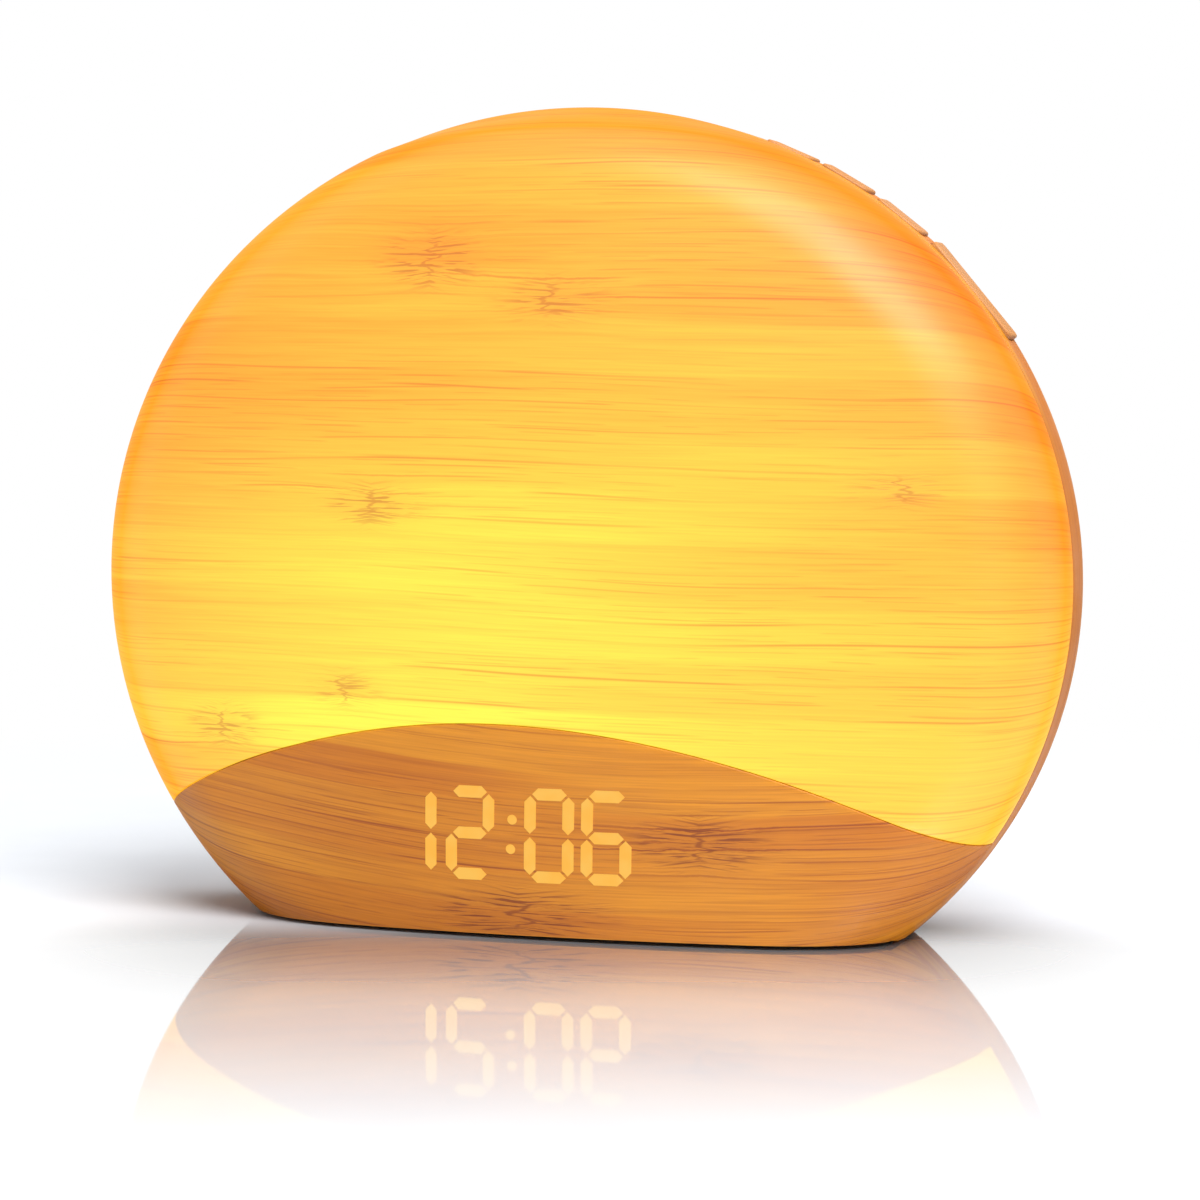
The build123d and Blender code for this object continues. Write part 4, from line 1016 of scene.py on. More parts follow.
class Finish(Protocol):
    """Anything that makes a material under the name of its slot."""

    @property
    def name(self) -> str:
        """Name of the slot."""

    def make(self) -> bpy.types.Material:
        """Builds the material."""


@dataclass(frozen=True)
class GrainNoise:
    """Smooth noise over the grain map, stretched along the fibres."""

    along: float
    across: float
    detail: float
    rough: float = 0.5
    seed_step: float = 0.0
    row: float = 0.0

    def over(self, graph: Graph, vector: object, seed: float) -> Socket:
        """Builds the noise.

        Args:
            graph: Material to build in.
            vector: Grain coordinates.
            seed: Offset that tells one pattern from another.

        Returns:
            Noise value about 0.5.
        """
        move = (seed + self.seed_step, self.row, 0.0)
        return graph.noise(graph.stretch(vector, (self.along, self.across, 1.0), move),
                           self.detail, self.rough)


WANDER = GrainNoise(1.4, 9.0, 2.0)
SWIRL = GrainNoise(18.0, 34.0, 3.0, 0.6, 0.0, 3.0)
THREADS = GrainNoise(1.6, 62.0, 3.0, 0.7, 5.0, 1.0)
CROWD = GrainNoise(1.0, 7.0, 1.0, 0.5, 9.0, 2.0)
FIBRES = GrainNoise(4.0, 230.0, 2.0, 0.6, 2.0, 7.0)


@dataclass(frozen=True)
class LineSet:
    """Thin lines of one size, at most one in each lane of the grain.

    Lane width and typical length are millimetres, the line's half width is a share of the
    lane.  A line shows where its lane's noise is above the gate, which the pattern's share
    of streaks lowers.
    """

    lane: float
    half_width: float
    reach: float
    gate: float
    gate_drop: float
    shift: float
    weight: float


LINE_SETS = (LineSet(6.0, 0.050, 60.0, 0.48, 0.04, 1.0, 1.0),
             LineSet(2.6, 0.085, 34.0, 0.49, 0.05, 4.0, 0.72),
             LineSet(1.2, 0.160, 16.0, 0.47, 0.04, 8.0, 0.42))


@dataclass(frozen=True)
class NodePrint:
    """Look of the pattern's nodes: dark wisps that fan out and a crease across the middle."""

    fan: Pair = (0.75, 0.5)
    unevenness: Triple = (3.0, 3.0, 1.0)
    wisp_scale: Triple = (0.9, 8.5, 1.0)
    wisp_range: Pair = (0.53, 0.60)
    wisp_reach: Pair = (0.15, 0.75)
    wisp_twist: float = 0.15
    bend_scale: Triple = (0.5, 2.6, 1.0)
    crease_width: Rgba = (0.015, 0.07, 1.0, 0.0)
    crease_length: Rgba = (0.35, 0.75, 1.0, 0.0)
    crease_reach: Pair = (0.30, 0.55)
    crease_weight: float = 0.8
    halo_range: Pair = (0.05, 0.8)

    def marks(self, graph: Graph, vector: object, knot: object, seed: float) -> Socket:
        """Builds wisps and crease.

        Args:
            graph: Material to build in.
            vector: Grain coordinates.
            knot: Strength of the node.
            seed: Offset that tells one pattern from another.

        Returns:
            Value from 0 to 1.
        """
        along, across = graph.attribute("knot_along"), graph.attribute("knot_across")
        away = graph.math("ABSOLUTE", along)
        widening = graph.math("ADD", self.fan[0], graph.times(away, self.fan[1]))
        fanned = graph.math("DIVIDE", across, widening)
        own = graph.add_vectors(graph.combine(along, fanned),
                                graph.stretch(vector, self.unevenness, (seed, 0.0, 0.0)))
        wisps = graph.noise(graph.stretch(own, self.wisp_scale), 2.0, twist=self.wisp_twist)
        wisps = graph.math("MULTIPLY", graph.spread(wisps, *self.wisp_range),
                           graph.spread(knot, *self.wisp_reach), True)
        bend = graph.noise(graph.stretch(own, self.bend_scale), 2.0)
        beside = graph.math("ADD", along, graph.math("SUBTRACT", bend, 0.5))
        crease = graph.times(graph.spread(graph.math("ABSOLUTE", beside), *self.crease_width),
                             graph.spread(graph.math("ABSOLUTE", across), *self.crease_length))
        crease = graph.times(crease, graph.spread(knot, *self.crease_reach))
        return graph.math("MAXIMUM", wisps, graph.times(crease, self.crease_weight))

    def halo(self, graph: Graph, knot: object) -> Socket:
        """Soft shade round a node, from 0 to 1."""
        return graph.spread(knot, *self.halo_range)


@dataclass(frozen=True)
class Tones:
    """Parts of the printed pattern, each from 0 to 1."""

    strips: Socket
    threads: Socket
    streaks: Socket
    fibres: Socket
    marks: Socket
    halo: Socket


@dataclass(frozen=True)
class BambooPattern:
    """Printed bamboo: broad strips, dark streaks of limited length, fibres and nodes."""

    seed: float
    streak_share: float
    strip_width: float = 9.0
    swirl_lift: float = 0.03
    wander_lift: float = 0.012
    lane_sway: float = 3.0
    sway_scale: Triple = (1.2, 6.0, 1.0)
    lane_step: float = 7.31
    sets_apart: float = 100.0
    strip_rate: float = 0.7
    strip_shift: float = 2.0
    strip_row: float = 3.0
    strip_joint: float = 0.84
    line_place: Pair = (0.25, 0.75)
    line_fade: float = 0.10
    line_core: float = 0.2
    crowd_range: Pair = (0.36, 0.58)
    sparse: float = 0.25
    node_print: NodePrint = NodePrint()

    def tones(self, graph: Graph) -> Tones:
        """Builds the pattern's parts.

        Args:
            graph: Material to build in.

        Returns:
            Sockets for all parts.
        """
        base, knot = graph.grain_map(), graph.attribute("knot")
        swirl = graph.math("SUBTRACT", SWIRL.over(graph, base, self.seed), 0.5)
        wander = graph.math("SUBTRACT", WANDER.over(graph, base, self.seed), 0.5)
        lift = graph.math("ADD", graph.times(swirl, graph.times(knot, self.swirl_lift)),
                          graph.times(wander, self.wander_lift))
        bent = graph.add_vectors(base, graph.combine(0.0, lift))
        streaks = self.lines(graph, bent, LINE_SETS[0])
        for finer in LINE_SETS[1:]:
            streaks = graph.math("MAXIMUM", streaks, self.lines(graph, bent, finer))
        crowd = graph.spread(CROWD.over(graph, bent, self.seed), *self.crowd_range,
                             self.sparse, 1.0)
        return Tones(strips=self.strips(graph, bent),
                     threads=THREADS.over(graph, bent, self.seed),
                     streaks=graph.times(streaks, crowd),
                     fibres=FIBRES.over(graph, bent, self.seed),
                     marks=self.node_print.marks(graph, base, knot, self.seed),
                     halo=self.node_print.halo(graph, knot))

    def lane(self, graph: Graph, vector: object, width: float, shift: float
             ) -> tuple[Socket, Socket, Socket]:
        """Divides the face into lanes along the grain.

        Args:
            graph: Material to build in.
            vector: Grain coordinates.
            width: Width of a lane in millimetres.
            shift: Offset that tells one set of lanes from another.

        Returns:
            Place along the grain, number of the lane and place across the lane from 0 to 1.
        """
        along, up, _ = graph.split(vector)
        moved = graph.stretch(vector, self.sway_scale, (self.seed + shift, shift, 0.0))
        sway = graph.noise(moved, 1.0)
        across = graph.math("ADD", graph.times(up, UNIT_LENGTH / width),
                            graph.times(sway, self.lane_sway / width))
        across = graph.math("ADD", across, self.seed + self.sets_apart * shift)
        return along, graph.math("FLOOR", across), graph.math("FRACT", across)

    def by_lane(self, graph: Graph, along: object, number: object, rate: float, row: float
                ) -> Socket:
        """Noise that runs along each lane and has nothing to do with its neighbours."""
        place = graph.combine(graph.times(along, rate), graph.times(number, self.lane_step), row)
        return graph.noise(place, 1.0)

    def strips(self, graph: Graph, vector: object) -> Socket:
        """Glued strips, each of its own tone, with narrow joints between them.

        Args:
            graph: Material to build in.
            vector: Grain coordinates.

        Returns:
            Value about 0.5.
        """
        along, number, within = self.lane(graph, vector, self.strip_width, self.strip_shift)
        following = graph.math("ADD", number, 1.0)
        own, other = (self.by_lane(graph, along, lane, self.strip_rate, self.strip_row)
                      for lane in (number, following))
        joint = graph.spread(within, self.strip_joint, 1.0)
        return graph.math("ADD", graph.times(own, graph.math("SUBTRACT", 1.0, joint)),
                          graph.times(other, joint))

    def lines(self, graph: Graph, vector: object, size: LineSet) -> Socket:
        """Thin lines of limited length, at most one in each lane.

        Args:
            graph: Material to build in.
            vector: Grain coordinates.
            size: Size and number of the lines.

        Returns:
            Value from 0 to the lines' weight.
        """
        along, number, within = self.lane(graph, vector, size.lane, size.shift)
        chance = graph.node("TexWhiteNoise", noise_dimensions="1D")
        graph.feed(chance.inputs["W"], number)
        centre = graph.spread(chance.outputs["Value"], 0.0, 1.0, *self.line_place)
        away = graph.math("ABSOLUTE", graph.math("SUBTRACT", within, centre))
        gate = size.gate - size.gate_drop * self.streak_share
        own = self.by_lane(graph, along, number, UNIT_LENGTH / size.reach, size.shift)
        present = graph.spread(own, gate, gate + self.line_fade)
        crisp = graph.spread(away, self.line_core * size.half_width, size.half_width, 1.0, 0.0)
        return graph.times(graph.math("MULTIPLY", crisp, present, True), size.weight)


@dataclass(frozen=True)
class Sheen:
    """Uneven satin gloss whose mirror part fades where the surface turns from sight."""

    roughness: Pair
    facing: Pair
    level: Pair
    wear_scale: Triple = (60.0, 60.0, 60.0)

    def apply(self, graph: MaterialGraph) -> None:
        """Sets the shader's roughness and specular level.

        Args:
            graph: Material to set.
        """
        wear = graph.noise(graph.stretch(graph.object_map(), self.wear_scale), FINE)
        facing = graph.node("LayerWeight").outputs["Facing"]
        graph.set(Roughness=graph.spread(wear, *MIDDLE, *self.roughness),
                  Specular_IOR_Level=graph.spread(facing, *self.facing, *self.level))


@dataclass(frozen=True)
class WoodFilm:
    """Satin bamboo-print film on an opaque shell."""

    name: str
    light: Rgba
    deep: Rgba
    streak: Rgba
    dark: Rgba
    pattern: BambooPattern
    relief: float = 0.35
    relief_height: float = 0.00012
    fibre_relief: float = 0.25
    sheen: Sheen = Sheen((0.37, 0.48), (0.40, 0.80), (0.50, 0.06))
    strip_range: Pair = (0.40, 0.60)
    fibre_tint: Rgba = (0.30, 0.72, 0.0, 0.20)
    thread_tint: Rgba = (0.42, 0.72, 0.0, 0.30)
    streak_tint: float = 0.80
    halo_tint: float = 0.16
    mark_tint: float = 0.85

    def make(self) -> bpy.types.Material:
        """Builds the material.

        Returns:
            The material.
        """
        graph = MaterialGraph(self.name)
        tones = self.pattern.tones(graph)
        colour = graph.blend(graph.spread(tones.strips, *self.strip_range), self.light, self.deep)
        for share in (graph.spread(tones.fibres, *self.fibre_tint),
                      graph.spread(tones.threads, *self.thread_tint),
                      graph.times(tones.streaks, self.streak_tint),
                      graph.times(tones.halo, self.halo_tint)):
            colour = graph.blend(share, colour, self.streak)
        colour = graph.blend(graph.times(tones.marks, self.mark_tint), colour, self.dark)
        relief = graph.math("SUBTRACT", graph.times(tones.fibres, self.fibre_relief),
                            graph.math("ADD", tones.streaks, tones.marks))
        graph.set(Base_Color=colour, Normal=graph.bump(relief, self.relief, self.relief_height))
        self.sheen.apply(graph)
        return graph.material


@dataclass(frozen=True)
class LitFilm:
    """Opal panel with printed bamboo, glowing from the lamp behind it."""

    name: str
    pattern: BambooPattern
    body: Rgba = srgb(70, 42, 14)
    scale: tuple[tuple[float, Rgba], ...] = (
        (0.0, srgb(252, 132, 4)), (0.26, srgb(253, 159, 22)), (0.5, srgb(253, 190, 48)),
        (0.75, srgb(254, 217, 60)), (1.0, srgb(255, 246, 70)))
    warm: Rgba = srgb(236, 198, 184)
    brown: Rgba = srgb(206, 152, 146)
    strip_sway: float = 0.80
    thread_sway: float = 0.28
    fibre_sway: float = 0.20
    halo_tint: float = 0.25
    mark_tint: float = 0.75
    relief: float = 0.25
    relief_height: float = 0.0001
    fibre_relief: float = 0.2
    sheen: Sheen = Sheen((0.38, 0.46), (0.30, 0.60), (0.55, 0.02))

    def make(self) -> bpy.types.Material:
        """Builds the material.

        Returns:
            The material.
        """
        graph = MaterialGraph(self.name)
        tones = self.pattern.tones(graph)
        level = graph.attribute("glow")
        for tone, share in ((tones.strips, self.strip_sway), (tones.threads, self.thread_sway),
                            (tones.fibres, self.fibre_sway)):
            sway = graph.times(graph.math("SUBTRACT", 0.5, tone), share)
            level = graph.math("ADD", level, sway)
        glow = graph.ramp(level, self.scale)
        warm, brown = (graph.blend(1.0, glow, tint, "MULTIPLY")
                       for tint in (self.warm, self.brown))
        colour = graph.blend(tones.streaks, glow, warm)
        colour = graph.blend(graph.times(tones.halo, self.halo_tint), colour, warm)
        colour = graph.blend(graph.times(tones.marks, self.mark_tint), colour, brown)
        relief = graph.math("SUBTRACT", graph.times(tones.fibres, self.fibre_relief), tones.marks)
        graph.set(Emission_Color=colour, Emission_Strength=1.0, Base_Color=self.body,
                  Normal=graph.bump(relief, self.relief, self.relief_height))
        self.sheen.apply(graph)
        return graph.material


@dataclass(frozen=True)
class DigitGlow:
    """Lit stroke of the display."""

    name: str
    colour: Rgba
    other: Rgba
    body: Rgba
    strength: float = 0.93
    roughness: float = 0.5
    cloud_scale: Triple = (220.0, 220.0, 220.0)

    def make(self) -> bpy.types.Material:
        """Builds the material.

        Returns:
            The material.
        """
        graph = MaterialGraph(self.name)
        cloud = graph.noise(graph.stretch(graph.object_map(), self.cloud_scale), 2.0)
        tone = graph.blend(graph.spread(cloud, *MIDDLE), self.colour, self.other)
        graph.set(Emission_Color=tone, Emission_Strength=self.strength, Base_Color=self.body,
                  Roughness=self.roughness)
        return graph.material


class Relief(Enum):
    """Fine relief of plain finishes, as frequency and height in metres."""

    MOULDED = (900.0, 0.00003)
    BRUSHED = (1500.0, 0.000015)
    SOFT = (1600.0, 0.00006)


@dataclass(frozen=True)
class PlainFinish:
    """Single-coloured finish with fine relief and uneven gloss."""

    name: str
    colour: Rgba
    roughness: float
    metallic: float = 0.0
    relief: Relief = Relief.MOULDED
    glow: float = 0.0
    darkening: float = 0.82
    gloss_change: float = 0.07
    least_roughness: float = 0.05
    cloud_size: float = 18.0
    cloud_range: Pair = (0.35, 0.7)
    relief_share: float = 0.4
    relief_rough: float = 0.6
    brush_scale: Triple = (0.15, 1.0, 1.0)

    def make(self) -> bpy.types.Material:
        """Builds the material.

        Returns:
            The material.
        """
        graph = MaterialGraph(self.name)
        rate, height = self.relief.value
        place = graph.object_map()
        if self.relief is Relief.BRUSHED:
            place = graph.stretch(place, self.brush_scale)
        fine = graph.noise(place, FINE, self.relief_rough, scale=rate)
        broad = graph.noise(place, FINE, scale=rate / self.cloud_size)
        darker = tuple(part * self.darkening for part in self.colour[:3]) + (1.0,)
        tone = graph.spread(broad, *self.cloud_range)
        glossy = max(self.least_roughness, self.roughness - self.gloss_change)
        matt = self.roughness + self.gloss_change
        graph.set(Base_Color=graph.blend(tone, self.colour, darker),
                  Roughness=graph.spread(broad, *MIDDLE, glossy, matt),
                  Metallic=self.metallic,
                  Normal=graph.bump(fine, self.relief_share, height))
        if self.glow > 0.0:
            graph.set(Emission_Color=self.colour, Emission_Strength=self.glow)
        return graph.material


FINISHES: tuple[Finish, ...] = (
    WoodFilm("wood_film_shell", srgb(211, 136, 24), srgb(194, 113, 12), srgb(134, 54, 6),
             srgb(116, 46, 4), BambooPattern(3.0, 1.0, 7.0)),
    WoodFilm("wood_film_key", srgb(186, 126, 66), srgb(180, 120, 60), srgb(168, 108, 50),
             srgb(134, 80, 36), BambooPattern(11.0, 0.3), relief=0.08),
    LitFilm("opal_panel", BambooPattern(7.0, 0.6, 11.0)),
    PlainFinish("foot_rubber", srgb(24, 24, 24), 0.75, relief=Relief.SOFT),
    PlainFinish("gasket_foam", srgb(34, 34, 36), 0.9, relief=Relief.SOFT),
    PlainFinish("white_plastic", srgb(236, 236, 232), 0.55),
    PlainFinish("black_plastic", srgb(30, 30, 33), 0.5),
    PlainFinish("bracket_plastic", srgb(214, 212, 204), 0.5),
    PlainFinish("socket_plastic", srgb(228, 222, 200), 0.45),
    PlainFinish("white_board", srgb(232, 234, 228), 0.4),
    PlainFinish("green_board", srgb(26, 96, 52), 0.35),
    PlainFinish("flex_board", srgb(196, 128, 48), 0.35),
    PlainFinish("led_resin", srgb(250, 222, 120), 0.3, glow=0.9),
    PlainFinish("screw_steel", srgb(186, 186, 190), 0.3, 1.0, Relief.BRUSHED),
    PlainFinish("socket_steel", srgb(206, 206, 210), 0.24, 1.0, Relief.BRUSHED),
    PlainFinish("contact_metal", srgb(214, 188, 122), 0.3, 1.0, Relief.BRUSHED),
    PlainFinish("capacitor_can", srgb(150, 152, 160), 0.35, 1.0, Relief.BRUSHED),
    PlainFinish("speaker_steel", srgb(44, 44, 47), 0.45),
    PlainFinish("speaker_paper", srgb(52, 50, 48), 0.85, relief=Relief.SOFT),
    PlainFinish("ferrite", srgb(62, 62, 66), 0.6),
    PlainFinish("copper_wire", srgb(196, 120, 72), 0.35, 1.0, Relief.BRUSHED),
    DigitGlow("digits", srgb(252, 182, 56), srgb(250, 190, 74), srgb(60, 40, 16)),
)


# ---------------------------------------------------------------- assemblies
PANEL_MARKS = (KnotMark(-21.0, 125.9, 11.0, 6.0, 1.0), KnotMark(3.1, 118.3, 12.0, 5.4, 0.75),
               KnotMark(-31.2, 80.7, 12.0, 5.0, 0.8), KnotMark(67.6, 84.1, 12.0, 4.6, 0.6),
               KnotMark(-36.8, 46.1, 9.0, 4.6, 0.65), KnotMark(-63.2, 38.3, 9.0, 5.0, 0.8))
FASCIA_MARKS = (KnotMark(31.4, 19.4, 14.0, 5.6, 0.95), KnotMark(-3.6, 4.8, 17.0, 5.2, 1.15))


@dataclass(frozen=True)
class Shells:
    """The lit panel, the main housing and the rear cover with its openings."""

    form: Pebble = PEBBLE
    wave: WaveLine = WaveLine()
    gap: float = 0.07
    panel_edge: float = 0.3
    wave_edge: float = 0.2
    seam_edge: float = 0.25
    slot_edge: float = 0.25
    opening_edge: float = 0.3
    base_thickness: float = 2.4
    housing_spacing: float = 1.5
    rim_points: int = 420
    band_margin: float = 0.3
    band_row: float = 300.0
    band_rate: float = 1.4
    band_slope: float = 0.02
    lit_grain: GrainField = GrainField(0.012, PANEL_MARKS)
    dark_grain: GrainField = GrainField(0.012, FASCIA_MARKS, 0.001)

    def closed_over(self, curve: Array, arc: float) -> Array:
        """Closes a chart curve with a circle round the apex, from its last point to its first.

        Args:
            curve: (p, q) rows.
            arc: Radius of the circle on the chart.

        Returns:
            (p, q) rows of the closed loop.
        """
        first, last = float(np.arctan2(*curve[-1])), float(np.arctan2(*curve[0]))
        turn = np.linspace(first, last, self.rim_points)[1:-1]
        return np.vstack([curve, np.c_[arc * np.sin(turn), arc * np.cos(turn)]])

    def panel_loop(self, inset: float) -> Array:
        """Outline of the lit panel, drawn in by the inset, or out where that is negative."""
        loop = self.closed_over(self.wave.chart_curve(self.form), self.form.band_arc)
        return shrink(loop, inset, [loop])

    def outline(self, front: bool) -> Array:
        """Seam circle trimmed by the flat base, for the housing or else the cover."""
        return self.closed_over(self.form.base_cut(front), self.form.seam_arc(front))

    def base(self, front: bool) -> Surface:
        """Flat plate that closes one side below."""
        cut, _ = self.form.place(self.form.base_cut(front), front)
        return slab(cut[:, :2], self.form.base_z, self.form.base_z + self.base_thickness)

    def panel(self) -> Surface:
        """Lit panel above the wave line."""
        sheet = TrimmedSheet(True, [self.panel_loop(self.gap)], [self.panel_edge])
        return sheet.build(self.lit_grain)

    def housing(self, key_slots: list[Array]) -> Surface:
        """Fascia and band in one moulding, with the key slots and the flat base.

        Args:
            key_slots: Outlines of the slots on the front chart.

        Returns:
            Its surface, whose grain runs round the rim on the band.
        """
        loops = [self.outline(True), self.panel_loop(-self.gap)] + key_slots
        radii = [self.seam_edge, self.wave_edge] + [self.slot_edge] * len(key_slots)
        skin = TrimmedSheet(True, loops, radii, self.housing_spacing).build(self.dark_grain)
        x, y, z = skin.points.T
        on_band = y > self.form.band_start - self.band_margin
        around = np.arctan2(x, (z - self.form.centre_z) / self.form.squash)
        around = self.form.half_width * around
        across = self.band_row + self.band_rate * y + self.band_slope * around
        skin.grain[on_band] = np.c_[around, across][on_band]
        return merge([skin, self.base(True)])

    def cover(self, holes: list[Array], pockets: list[Surface]) -> Surface:
        """Rear cover with its openings and pockets.

        Args:
            holes: Outlines of the openings on the rear chart.
            pockets: Pocket walls behind some of them.

        Returns:
            Its surface.
        """
        radii = [self.seam_edge] + [self.opening_edge] * len(holes)
        sheet = TrimmedSheet(False, [self.outline(False)] + holes, radii)
        return merge([sheet.build(self.dark_grain), self.base(False)] + pockets)


@dataclass(frozen=True)
class Key:
    """One key in the band: a flat-topped bar with rounded corners and edges."""

    angle: float
    length: float
    stand: float
    width: float = 7.0
    centre_y: float = 6.6
    corner: float = 1.3
    corner_loss: float = 0.9
    edge: float = 0.45
    edge_turns: tuple[float, ...] = (18.0, 36.0, 54.0, 72.0, 90.0)
    flat_inset: float = 0.35
    gap: float = 0.25
    depth: float = 2.7
    slot_spacing: float = 0.9
    steepest: float = 0.9
    grain_step: float = 7.0
    grain_row: float = 420.0
    form: Pebble = PEBBLE

    def axes(self, side: int) -> tuple[Array, Array, Array]:
        """Origin on the rim, direction along it and outward direction.

        Args:
            side: 1 for the right, -1 for the left.

        Returns:
            Three vectors.
        """
        turn = np.radians(side * self.angle)
        high, wide = self.form.half_height, self.form.half_width
        origin = np.array([wide * np.sin(turn), self.centre_y,
                           self.form.centre_z + high * np.cos(turn)])
        out = np.array([high * np.sin(turn), 0.0, wide * np.cos(turn)])
        out /= np.linalg.norm(out)
        return origin, np.array([out[2], 0.0, -out[0]]), out

    def surface(self, side: int) -> Surface:
        """Rings drawn in by edge * (1 - cos t) at the height stand - edge * (1 - sin t).

        Args:
            side: 1 for the right, -1 for the left.

        Returns:
            Closed surface.
        """
        origin, along, out = self.axes(side)
        back = np.array([0.0, 1.0, 0.0])
        levels = [(0.0, -self.depth), (0.0, self.stand - self.edge)]
        for turn in np.radians(self.edge_turns):
            levels.append((self.edge * (1.0 - np.cos(turn)),
                           self.stand - self.edge * (1.0 - np.sin(turn))))
        levels.append((self.edge + self.flat_inset, self.stand))
        rings, flat = [], []
        for inset, height in levels:
            size = (self.length - 2.0 * inset, self.width - 2.0 * inset)
            corner = self.corner - min(inset, self.corner_loss)
            loop = rounded_rectangle((0.0, 0.0), size, corner, 7)
            rings.append(origin + loop[:, :1] * along + loop[:, 1:] * back + height * out)
            flat.append(loop)
        flipped = float(np.dot(np.cross(along, back), out)) < 0.0
        grain = np.vstack(flat) + np.array([self.angle * self.grain_step * side, self.grain_row])
        return plain(np.vstack(rings), loft(len(flat[0]), len(rings), flipped), grain)

    def slot(self, side: int) -> Array:
        """Opening for the key on the front chart.

        Args:
            side: 1 for the right, -1 for the left.

        Returns:
            (p, q) rows.
        """
        form = self.form
        origin, along, _ = self.axes(side)
        size = (self.length + 2.0 * self.gap, self.width + 2.0 * self.gap)
        loop = rounded_rectangle((0.0, 0.0), size, self.corner + self.gap, 5)
        loop = resample(loop, self.slot_spacing)
        points = origin + loop[:, :1] * along
        turn = np.arctan2(points[:, 0] / form.half_width,
                          (points[:, 2] - form.centre_z) / form.half_height)
        y = self.centre_y + loop[:, 1]
        past = np.arcsin(np.clip((y - form.band_end) / form.rear_edge, 0.0, self.steepest))
        arc = form.band_arc + np.minimum(y, form.band_end) - form.band_start \
            + form.rear_edge * past
        return np.c_[arc * np.sin(turn), arc * np.cos(turn)]


KEYS = (Key(25.1, 9.8, 0.3), Key(32.4, 10.4, 0.45), Key(40.2, 10.6, 0.35), Key(52.2, 22.8, 0.2))


class Segment(Enum):
    """Strokes of a seven-stroke digit, as ends in (side, level)."""

    TOP = ((-1, 1), (1, 1))
    UPPER_RIGHT = ((1, 1), (1, 0))
    LOWER_RIGHT = ((1, 0), (1, -1))
    BOTTOM = ((-1, -1), (1, -1))
    LOWER_LEFT = ((-1, 0), (-1, -1))
    UPPER_LEFT = ((-1, 1), (-1, 0))
    MIDDLE = ((-1, 0), (1, 0))


NUMERALS: dict[int, tuple[Segment, ...]] = {
    0: (Segment.TOP, Segment.UPPER_RIGHT, Segment.LOWER_RIGHT, Segment.BOTTOM,
        Segment.LOWER_LEFT, Segment.UPPER_LEFT),
    1: (Segment.UPPER_RIGHT, Segment.LOWER_RIGHT),
    2: (Segment.TOP, Segment.UPPER_RIGHT, Segment.MIDDLE, Segment.LOWER_LEFT, Segment.BOTTOM),
    6: (Segment.TOP, Segment.UPPER_LEFT, Segment.MIDDLE, Segment.LOWER_LEFT, Segment.BOTTOM,
        Segment.LOWER_RIGHT),
}


@dataclass(frozen=True)
class Readout:
    """Glowing digits as thin plates that follow the fascia's dome."""

    shown: tuple[int, ...] = (1, 2, 0, 6)
    centres: tuple[float, ...] = (-23.9, -12.4, 3.1, 14.05)
    middle_z: float = 20.05
    half_pitch_x: float = 3.68
    half_pitch_z: float = 7.82
    half_stroke: float = 1.12
    tip_gap: float = 0.34
    slant: float = 0.062
    rise: float = 0.06
    sunk: float = 0.25
    ring_shares: Triple = (1.0, 0.66, 0.33)
    spacing: float = 0.6
    colon: tuple[Pair, ...] = ((-3.9, 22.9), (-4.5, 17.3))
    dot_radius: float = 0.92
    dot_points: int = 24

    def plate(self, outline: Array) -> Surface:
        """Thin plate on the dome: rings of the outline shrink towards its middle.

        Args:
            outline: (x, z) corners.

        Returns:
            Closed plate.
        """
        outline = resample(outline, self.spacing)
        middle = outline.mean(axis=0)
        levels = [(1.0, -self.sunk)] + [(share, self.rise) for share in self.ring_shares]
        rings = []
        for share, lift in levels:
            loop = middle + (outline - middle) * share
            rings.append(np.c_[loop[:, 0], PEBBLE.skin_depth(loop, True) - lift, loop[:, 1]])
        faces = loft(len(outline), len(rings), turning(outline) < 0.0)
        return plain(np.vstack(rings), faces)

    def stroke(self, centre: float, segment: Segment) -> Array:
        """Six-cornered outline of one stroke.

        Args:
            centre: Middle of the digit.
            segment: Which stroke.

        Returns:
            (x, z) corners.
        """
        ends = np.array(segment.value, float) * (self.half_pitch_x, self.half_pitch_z)
        along = ends[1] - ends[0]
        along /= np.linalg.norm(along)
        side = np.array([-along[1], along[0]]) * self.half_stroke
        first, last = ends[0] + along * self.tip_gap, ends[1] - along * self.tip_gap
        shoulder = along * self.half_stroke
        corners = np.array([first, first + shoulder + side, last - shoulder + side, last,
                            last - shoulder - side, first + shoulder - side])
        corners[:, 0] += corners[:, 1] * self.slant + centre
        corners[:, 1] += self.middle_z
        return corners

    def surface(self) -> Surface:
        """All strokes and the colon.

        Returns:
            One surface.
        """
        parts = []
        for centre, number in zip(self.centres, self.shown):
            parts += [self.plate(self.stroke(centre, segment)) for segment in NUMERALS[number]]
        for place in self.colon:
            parts.append(self.plate(ring_of_points(place, self.dot_radius, self.dot_points)))
        return merge(parts)


@dataclass(frozen=True)
class Opening:
    """Rounded rectangular opening of a socket."""

    centre: Pair
    size: Pair
    corner: float


